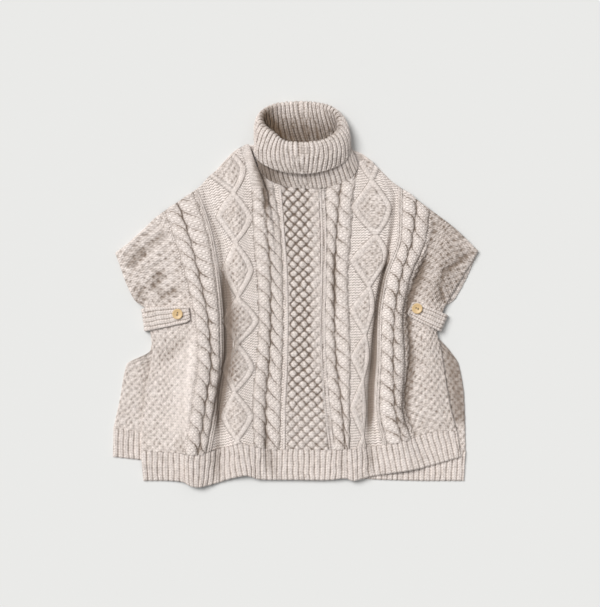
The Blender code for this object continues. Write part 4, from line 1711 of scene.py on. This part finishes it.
@dataclass
class RollCollar:
    """The ribbed stand and its turned fold, one closed wall round the neck."""

    finish: bpy.types.Material
    sides: int = 360
    steps: int = 96
    cap: int = 5
    sink: float = 2.2
    fine: int = 600
    girth_at: float = 0.8
    slump_middle: tuple[float, float] = (-62.0, 312.0)
    slump_reach: float = 30.0
    slump_move: tuple[float, float, float] = (12.0, 9.0, -2.0)
    flat: tuple[float, float] = (0.50, 0.175)
    rib: TwoByTwo = TwoByTwo(pitch=9.7, height=4.3, dark=1.0)

    def build(self) -> bpy.types.Object:
        """Returns:
            The collar.
        """
        middle = self.middle()
        normals = grid_normals(middle, closed=True)
        if normals[:, -1, 2].max() < abs(normals[:, -1, 2].min()):
            normals = -normals
        length = running_length(middle, 1)
        ring = np.linalg.norm(np.diff(np.concatenate([middle, middle[:1]]), axis=0), axis=2)
        girth = ring[:, int(self.steps * self.girth_at)]
        across = np.concatenate([[0.0], np.cumsum(girth)[:-1]])
        count = round(girth.sum() / self.rib.pitch)
        across = across * count * self.rib.pitch / girth.sum()
        across = across[:, None] + 0.0 * length
        outer = Fabric(across, length)
        self.rib.knit(outer)
        inner = Fabric(across + self.rib.pitch / 2, length)
        self.rib.knit(inner)
        half = COLLAR_WALL / MM / 2
        outside = middle + normals * (half - self.sink + outer.height)[:, :, None]
        inside = middle - normals * (half - self.sink + inner.height)[:, :, None]
        return self.close(middle, outside, inside, outer, inner)

    def middle(self) -> np.ndarray:
        """Return the middle of the wall: sides round it, steps from the seam to the fold's edge.

        Returns:
            The wall's middle, in millimetres.
        """
        table = np.array([(r.centre_x, r.half_width, r.y_front, r.y_back, r.z_front, r.z_back,
                           r.squareness) for r in COLLAR_RINGS], float)
        knots = np.arange(len(COLLAR_RINGS), dtype=float)
        places = np.linspace(0, knots[-1], self.fine)
        walk = np.diff(monotone_curve(knots, table, places)[:, 1:6:2], axis=0)
        path = np.concatenate([[0.0], np.cumsum(np.linalg.norm(walk, axis=1))])
        even = np.interp(np.linspace(0, path[-1], self.steps + 1), path, places)
        steps = monotone_curve(knots, table, even)
        turn = np.arange(self.sides) * 2 * math.pi / self.sides
        centre_x, half_width, y_front, y_back, z_front, z_back, squareness = steps.T
        power = 2.0 / squareness
        across = np.sign(np.cos(turn))[:, None] * np.abs(np.cos(turn))[:, None] ** power
        along = np.sign(np.sin(turn))[:, None] * np.abs(np.sin(turn))[:, None] ** power
        x = centre_x + across * half_width
        y = (y_front + y_back) / 2 + along * (y_back - y_front) / 2
        z = (z_front + z_back) / 2 + along * (z_back - z_front) / 2
        away = (x - self.slump_middle[0]) ** 2 + (y - self.slump_middle[1]) ** 2
        slump = np.exp(-(away / self.slump_reach**2))
        slump = slump * ease(0.25, 0.42, np.linspace(0.0, 1.0, self.steps + 1))
        right, up, lift = self.slump_move
        return np.stack([x + right * slump, y + up * slump, z + lift * slump], axis=2)

    def neck_shade(self, middle: np.ndarray) -> np.ndarray:
        """Return how shaded the neck is inside: darkest far down on its left.

        Args:
            middle: the wall's middle.

        Returns:
            A shade for each point, from 0 to 1.
        """
        left = ease(60.0, -70.0, middle[:, :, 0])
        stand = ease(0.62, 0.53, np.linspace(0.0, 1.0, middle.shape[1]))[None, :]
        far_left = ease(-20.0, -68.0, middle[:, :, 0])
        depth = ease(378.0, 318.0, middle[:, :, 1]) * (0.66 + 0.28 * left) + 0.85 * far_left
        return stand * np.minimum(depth, 0.97)

    def stand_shade(self, middle: np.ndarray) -> np.ndarray:
        """Return how shaded the stand is outside, below the fold: darkest on its left.

        Args:
            middle: the wall's middle.

        Returns:
            A shade for each point, from 0 to 1.
        """
        down = np.linspace(1.0, 0.0, middle.shape[1])[None, :]
        left = ease(0.0, -60.0, middle[:, :, 0])
        return ease(0.55, 0.75, down) * (0.10 + 0.80 * left)

    def close(self, middle: np.ndarray, outside: np.ndarray, inside: np.ndarray, outer: Fabric,
              inner: Fabric) -> bpy.types.Object:
        """Join the two faces round the seam and round the fold's free edge.

        Args:
            middle: the wall's middle.
            outside: its outer face.
            inside: its inner face.
            outer: the outer face's knitting.
            inner: the inner face's knitting.

        Returns:
            The closed piece.
        """
        columns = [outside]
        wale, course, purl = [outer.wale], [outer.course], [outer.purl]
        tip = middle[:, -1] - middle[:, -2]
        tip /= np.linalg.norm(tip, axis=1)[:, None]
        for number in range(1, self.cap):
            angle = math.pi * number / self.cap
            blend = (1 - math.cos(angle)) / 2
            edge = outside[:, -1] * (1 - blend) + inside[:, -1] * blend
            edge = edge + tip * (math.sin(angle) * (1.0 + 0.6 * outer.height[:, -1:]))
            columns.append(edge[:, None])
            wale.append(outer.wale[:, -1:])
            course.append(outer.course[:, -1:] + 0.5)
            purl.append(outer.purl[:, -1:])
        columns.append(inside[:, ::-1])
        wale.append(inner.wale[:, ::-1])
        course.append(inner.course[:, ::-1])
        purl.append(inner.purl[:, ::-1])
        points = np.concatenate(columns, axis=1)
        points[:, :, 2] = np.maximum(points[:, :, 2], 0.0)
        # Painted shade in the rib's valleys, inside the neck and on the stand below the fold.
        neck = self.neck_shade(middle)
        inner_painted_shade = deepen(1.15 * inner.gap_shade, neck) + 0.14 * neck
        painted_shade = np.concatenate([deepen(outer.gap_shade, self.stand_shade(middle)),
                                 np.repeat(outer.gap_shade[:, -1:], self.cap - 1, axis=1),
                                 inner_painted_shade[:, ::-1]], axis=1)
        sides, rows, _ = points.shape
        numbers = np.arange(sides * rows).reshape(sides, rows)
        loop = np.concatenate([numbers, numbers[:1]], axis=0)
        loop = np.concatenate([loop, loop[:, :1]], axis=1)
        stitches = np.stack([np.concatenate(wale, 1).ravel(), np.concatenate(course, 1).ravel()], axis=1)
        piece = mesh_from_faces("roll_collar_knit", points.reshape(-1, 3) * MM, grid_faces(loop),
                                np.zeros((0, 3), int), stitches, np.concatenate(purl, 1).ravel(),
                                painted_shade.ravel())
        face_outwards(piece)
        dress(piece, self.finish, Slot.RIB, ["roll_collar"])
        return piece


def face_outwards(piece: bpy.types.Object) -> None:
    """Turn a closed piece's faces out where they face in.

    Args:
        piece: the piece, whose mesh is closed.
    """
    shape = bmesh.new()
    shape.from_mesh(piece.data)
    volume = shape.calc_volume(signed=True)
    shape.free()
    if volume < 0:
        piece.data.flip_normals()


@dataclass
class Tab:
    """A ribbed strap that turns round the side edges and buttons on the front."""

    side: str
    tip: tuple[float, float]
    outer: tuple[float, float]
    tip_width: float
    outer_width: float
    finish: bpy.types.Material
    steps: int = 84
    bend_steps: int = 24
    across: int = 36
    bend_radius: float = 6.5
    bend_share: float = 0.6
    bend_flatness: float = 0.6
    foot: float = 1.2
    sink: float = 1.9
    tip_share: float = 0.14
    tip_width_share: float = 0.72
    edge_reach: float = 2.6
    edge_drop: float = 1.6
    rib: TwoByTwo = TwoByTwo(pitch=7.2, height=2.4, dark=1.0)

    def build(self, height: Callable[[float, float], float]) -> bpy.types.Object:
        """Build the tab.

        Args:
            height: gives the front panel's top at a place, in millimetres.

        Returns:
            The tab.
        """
        low, out = self.path(height)
        along = running_length(low, 1)
        across = np.linspace(-0.5, 0.5, self.across + 1)[:, None] * self.tip_width + 0.0 * along
        fabric = Fabric(across + self.rib.pitch * 0.5, along)
        self.rib.knit(fabric)
        width = self.widths()[None, :]
        border = (0.5 - np.abs(np.linspace(-0.5, 0.5, self.across + 1)))[:, None] * width
        thinned = edge_round(np.minimum(border, along), self.edge_reach, self.edge_drop)
        thick = TAB_WALL / MM - self.sink + fabric.height - thinned
        top = low + out * thick[:, :, None]
        # Painted shade in the rib's valleys.
        piece = shell(f"tab_{self.side}_knit", fabric.surface(top, fabric.gap_shade), low * MM, 2)
        face_outwards(piece)
        dress(piece, self.finish, Slot.RIB, [f"tab_{self.side}"])
        return piece

    def widths(self) -> np.ndarray:
        """Return the strap's width at each step, with a rounded tip.

        Returns:
            One width for each step, in millimetres.
        """
        share = np.linspace(0.0, 1.0, self.steps + 1)
        width = self.tip_width + (self.outer_width - self.tip_width) * share
        swell = np.sin(np.clip(share / self.tip_share, 0.0, 1.0) * math.pi / 2)
        rounded = self.tip_width_share + (1.0 - self.tip_width_share) * swell
        return np.concatenate([width * rounded, np.full(self.bend_steps, self.outer_width)])

    def path(self, height: Callable[[float, float], float]) -> tuple[np.ndarray, np.ndarray]:
        """Return the strap's lower points and the direction in which it is thick at each.

        Args:
            height: gives the front panel's top at a place.

        Returns:
            The points, and one direction for each.
        """
        tip, outer = np.array(self.tip), np.array(self.outer)
        way = (outer - tip) / np.linalg.norm(outer - tip)
        side = np.array([-way[1], way[0]])
        widths = self.widths()
        share = np.linspace(-0.5, 0.5, self.across + 1)
        place = tip + (outer - tip) * np.linspace(0, 1, self.steps + 1)[:, None]
        flat = place[None] + side * (share[:, None, None] * widths[None, :self.steps + 1, None])
        level = np.array([[height(x, y) for x, y in row] for row in flat]) + LAY_GAP
        level = box_blur(level, 3, 4)
        low = np.concatenate([flat, level[:, :, None]], axis=2)
        up = np.zeros_like(low) + np.array([0.0, 0.0, 1.0])
        rim = low[:, -1]
        way3 = np.array([way[0], way[1], 0.0])
        turn = np.linspace(0.0, 1.0, self.bend_steps + 1)[1:]
        bends, outs = [], []
        for step in turn:
            angle = min(step / self.bend_share, 1.0) * math.pi / 2
            reach = self.bend_radius * math.sin(angle) * self.bend_flatness
            point = rim + way3 * reach
            point[:, 2] -= self.bend_radius * (1 - math.cos(angle))
            if step > self.bend_share:
                down = (step - self.bend_share) / (1 - self.bend_share)
                point[:, 2] += (self.foot - point[:, 2]) * down
            bends.append(point)
            out = np.array([0, 0, 1.0]) * math.cos(angle) + way3 * math.sin(angle)
            outs.append(np.zeros_like(point) + out)
        low = np.concatenate([low, np.stack(bends, axis=1)], axis=1)
        up = np.concatenate([up, np.stack(outs, axis=1)], axis=1)
        return low, up


@dataclass
class Button:
    """A turned wooden button with two holes, sewn on with wool."""

    side: str
    wood: bpy.types.Material
    # very dark wood, the painted shade in the holes
    hole_shade_wood: bpy.types.Material
    yarn: bpy.types.Material
    radius: float = 10.5 * MM
    height: float = 4.2 * MM
    dish_radius: float = 6.6 * MM
    dish_depth: float = 0.9 * MM
    hole_radius: float = 1.4 * MM
    hole_offset: float = 2.3 * MM
    # how far round each hole the painted shade reaches, in hole radii
    hole_shade_reach: float = 1.02
    thread_radius: float = 1.75 * MM
    thread_width: float = 0.26 * MM
    thread_depth: float = 0.55 * MM

    def build(self) -> bpy.types.Object:
        """Turn the button, drill it and seat it where the frame has it.

        Returns:
            The button, with its thread beside it.
        """
        low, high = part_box(f"button_{self.side}")
        centre = (low + high) / 2
        normal = self.tilt()
        deselect()
        bpy.ops.mesh.primitive_cylinder_add(vertices=96, radius=self.radius, depth=self.height,
                                            end_fill_type="NGON")
        made = bpy.context.object
        made.name = f"button_{self.side}_turned"
        self.dish(made)
        self.soften(made)
        for offset in (-self.hole_offset, self.hole_offset):
            self.drill(made, offset)
        made.rotation_mode = "QUATERNION"
        made.rotation_quaternion = self.facing(normal)
        made.location = centre
        apply_place(made)
        dress(made, self.wood, Slot.BUTTON, [f"button_{self.side}"])
        self.shade_holes(made, centre, normal)
        self.thread(centre, normal)
        return made

    def tilt(self) -> Vector:
        """Return the way the frame's button faces.

        Returns:
            A unit vector.
        """
        node = bpy.data.objects[f"button_{self.side}"]
        total = Vector((0.0, 0.0, 0.0))
        for face in node.data.polygons:
            if face.normal.z > 0.8:
                total += face.normal * face.area
        return total.normalized()

    def facing(self, normal: Vector) -> Quaternion:
        """Return the turn that brings the button from upright to its place."""
        tilt = Vector((0.0, 0.0, 1.0)).rotation_difference(normal)
        return tilt @ Quaternion((0.0, 0.0, 1.0), math.radians(BUTTON_TURNS[self.side]))

    def dish(self, made: bpy.types.Object) -> None:
        """Sink the middle of the upper face.

        Args:
            made: the button.
        """
        select_faces(made, lambda face: face.normal.z > 0.9)
        bpy.ops.object.mode_set(mode="EDIT")
        bpy.ops.mesh.inset(thickness=self.radius - self.dish_radius - 1.2 * MM)
        bpy.ops.mesh.inset(thickness=1.6 * MM)
        bpy.ops.transform.translate(value=(0, 0, -self.dish_depth))
        bpy.ops.mesh.inset(thickness=1.6 * MM)
        bpy.ops.transform.translate(value=(0, 0, -0.15 * MM))
        bpy.ops.object.mode_set(mode="OBJECT")

    def soften(self, made: bpy.types.Object) -> None:
        """Round the button's edges.

        Args:
            made: the button.
        """
        bevel = made.modifiers.new("soft_edge", "BEVEL")
        bevel.width = 0.9 * MM
        bevel.segments = 4
        bevel.limit_method = "ANGLE"
        bevel.angle_limit = math.radians(30)
        apply_modifier(made, bevel.name)
        made.data.shade_smooth()
        made.data.set_sharp_from_angle(angle=math.radians(45))

    def drill(self, made: bpy.types.Object, offset: float) -> None:
        """Drill one thread hole.

        Args:
            made: the button.
            offset: how far from its middle.
        """
        deselect()
        bpy.ops.mesh.primitive_cylinder_add(vertices=24, radius=self.hole_radius, depth=self.height * 3,
                                            location=(offset, 0, 0))
        cutter = bpy.context.object
        drill = made.modifiers.new("hole", "BOOLEAN")
        drill.operation = "DIFFERENCE"
        drill.solver = "EXACT"
        drill.object = cutter
        apply_modifier(made, drill.name)
        bpy.data.objects.remove(cutter, do_unlink=True)

    def shade_holes(self, made: bpy.types.Object, centre: Vector, normal: Vector) -> None:
        """Give the holes' walls a painted shade: very dark wood where the holes lie in shade.

        Args:
            made: the button.
            centre: its middle.
            normal: the way it faces.
        """
        made.data.materials.append(self.hole_shade_wood)
        along = self.facing(normal) @ Vector((1.0, 0.0, 0.0))
        for face in made.data.polygons:
            aside = face.center - centre
            aside -= normal * aside.dot(normal)
            nearest = min((aside - along * self.hole_offset).length,
                          (aside + along * self.hole_offset).length)
            if nearest < self.hole_shade_reach * self.hole_radius:
                face.material_index = 1

    def thread(self, centre: Vector, normal: Vector) -> None:
        """Sew the button on with two turns of wool between its holes.

        Args:
            centre: the button's middle.
            normal: the way it faces.
        """
        deselect()
        bpy.ops.mesh.primitive_torus_add(major_radius=self.thread_radius, minor_radius=self.thread_width,
                                         major_segments=32, minor_segments=10)
        made = bpy.context.object
        made.name = f"button_{self.side}_thread"
        made.rotation_mode = "QUATERNION"
        upright = Quaternion((1.0, 0.0, 0.0), math.pi / 2)
        made.rotation_quaternion = self.facing(normal) @ upright
        made.location = centre - normal * self.thread_depth
        apply_place(made)
        made.data.shade_smooth()
        dress(made, self.yarn, Slot.PANEL, [])


def deselect() -> None:
    """Leave nothing selected, in object mode."""
    if bpy.context.object and bpy.context.object.mode != "OBJECT":
        bpy.ops.object.mode_set(mode="OBJECT")
    bpy.ops.object.select_all(action="DESELECT")


def select_faces(made: bpy.types.Object, wanted: Callable[[bpy.types.MeshPolygon], bool]) -> None:
    """Select just the faces that are wanted.

    Args:
        made: the object.
        wanted: tells whether a face is wanted.
    """
    for group in (made.data.vertices, made.data.edges):
        for item in group:
            item.select = False
    for face in made.data.polygons:
        face.select = wanted(face)


def apply_modifier(made: bpy.types.Object, name: str) -> None:
    """Apply one modifier.

    Args:
        made: the object.
        name: the modifier on it.
    """
    deselect()
    bpy.context.view_layer.objects.active = made
    made.select_set(True)
    bpy.ops.object.modifier_apply(modifier=name)


def apply_place(made: bpy.types.Object) -> None:
    """Move an object's place, turn and size into its mesh.

    Args:
        made: the object.
    """
    deselect()
    bpy.context.view_layer.objects.active = made
    made.select_set(True)
    bpy.ops.object.transform_apply(location=True, rotation=True, scale=True)


def front_height() -> Callable[[float, float], float]:
    """Return a function that gives the front panel's top at a place, in millimetres.

    Returns:
        The function, which takes x and y in millimetres.
    """
    node = bpy.data.objects["front_panel"]
    tree = BVHTree.FromObject(node, bpy.context.evaluated_depsgraph_get())
    around = (-6.0, 0.0, 6.0)

    def height(x: float, y: float) -> float:
        """Return the highest point of the panel round one place.

        Args:
            x: the place across, in millimetres.
            y: the place along.

        Returns:
            The height, in millimetres.
        """
        found = [2 * PANEL_WALL / MM + 0.3]
        for aside in around:
            for beside in around:
                start = Vector(((x + aside) * MM, (y + beside) * MM, 1.0))
                hit = tree.ray_cast(start, Vector((0, 0, -1)))[0]
                if hit:
                    found.append(hit.z / MM)
        return max(found)

    return height


# ---------------------------------------------------------------------------
# Stage
# ---------------------------------------------------------------------------


@dataclass
class Studio:
    """A pale floor, soft daylight from the upper left and a camera straight above."""

    view_height: float = 1.214
    camera_height: float = 4.0
    middle: tuple[float, float] = (9 * MM, -18 * MM)
    floor_side: float = 9.0
    sky: float = 0.42
    sun: float = 3.00
    sun_angle: float = 34.0
    elevation: float = 50.0
    azimuth: float = 140.0
    floor_drop: float = 0.2 * MM
    view_level: float = 0.01

    def build(self) -> None:
        """Set the floor, the lights and the camera."""
        self.floor()
        self.light()
        self.camera()
        bpy.context.scene.view_settings.view_transform = "Standard"
        log.info("studio ready")

    def floor(self) -> None:
        """Lay the floor just under the garment."""
        deselect()
        bpy.ops.mesh.primitive_plane_add(size=self.floor_side, location=(0, 0, 0))
        plane = bpy.context.object
        plane.name = "stage_floor"
        plane.data.materials.append(StageFinish().material())
        plane.location.z = -self.floor_drop
        apply_place(plane)

    def light(self) -> None:
        """Hang the key light and set the even light of the room."""
        world = bpy.data.worlds.new("room")
        world.use_nodes = True
        back = world.node_tree.nodes["Background"]
        back.inputs["Color"].default_value = (1.0, 1.0, 1.0, 1.0)
        back.inputs["Strength"].default_value = self.sky
        bpy.context.scene.world = world
        lamp = bpy.data.lights.new("key", "SUN")
        lamp.energy = self.sun
        lamp.angle = math.radians(self.sun_angle)
        key = bpy.data.objects.new("key", lamp)
        up, round_ = math.radians(self.elevation), math.radians(self.azimuth)
        level = math.cos(up)
        towards = Vector((level * math.cos(round_), level * math.sin(round_), math.sin(up)))
        key.rotation_mode = "QUATERNION"
        key.rotation_quaternion = towards.to_track_quat("Z", "Y")
        key.location = towards * 3.0
        bpy.context.scene.collection.objects.link(key)

    def camera(self) -> None:
        """Look straight down on the garment."""
        lens = bpy.data.cameras.new("camera")
        lens.sensor_fit = "VERTICAL"
        lens.sensor_height = 24.0
        lens.lens = lens.sensor_height * (self.camera_height - self.view_level) / self.view_height
        lens.clip_end = 50.0
        camera = bpy.data.objects.new("camera", lens)
        camera.location = (self.middle[0], self.middle[1], self.camera_height)
        bpy.context.scene.collection.objects.link(camera)
        bpy.context.scene.camera = camera


def main() -> None:
    """Build the garment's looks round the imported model."""
    logging.basicConfig(level=logging.INFO, format="%(name)s %(message)s")
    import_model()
    height = front_height()
    Studio().build()
    panel_yarn = YarnFinish("panel_knit").material()
    rib_yarn = YarnFinish("rib_knit", stitch_depth=0.7 * MM).material()
    wood = WoodFinish().material()
    # Very dark wood tones for the painted shade in the buttons' holes.
    hole_shade_tones = ((0.075, 0.040, 0.018, 1.0), (0.045, 0.022, 0.010, 1.0))
    hole_shade_wood = WoodFinish("button_hole_shade", *hole_shade_tones).material()
    BackPanel(panel_yarn).build()
    back_hem = Hem("back_hem_knit", "back_hem_rib", rib_yarn, (0.72, 0.058), "stage_floor")
    back_hem.build(back_hem_lines())
    FrontPanel(panel_yarn).build()
    front_hem = Hem("front_hem_knit", "front_hem_rib", rib_yarn, (0.68, 0.062), "back_panel")
    front_hem.build(front_hem_lines())
    RollCollar(rib_yarn).build()
    tabs = (
        Tab("left", (-211, -38), (-298, -50), 33, 46, rib_yarn),
        Tab("right", (228, -27), (291, -55), 32, 36, rib_yarn),
    )
    for tab in tabs:
        tab.build(height)
        Button(tab.side, wood, hole_shade_wood, panel_yarn).build()


if __name__ == "__main__":
    main()
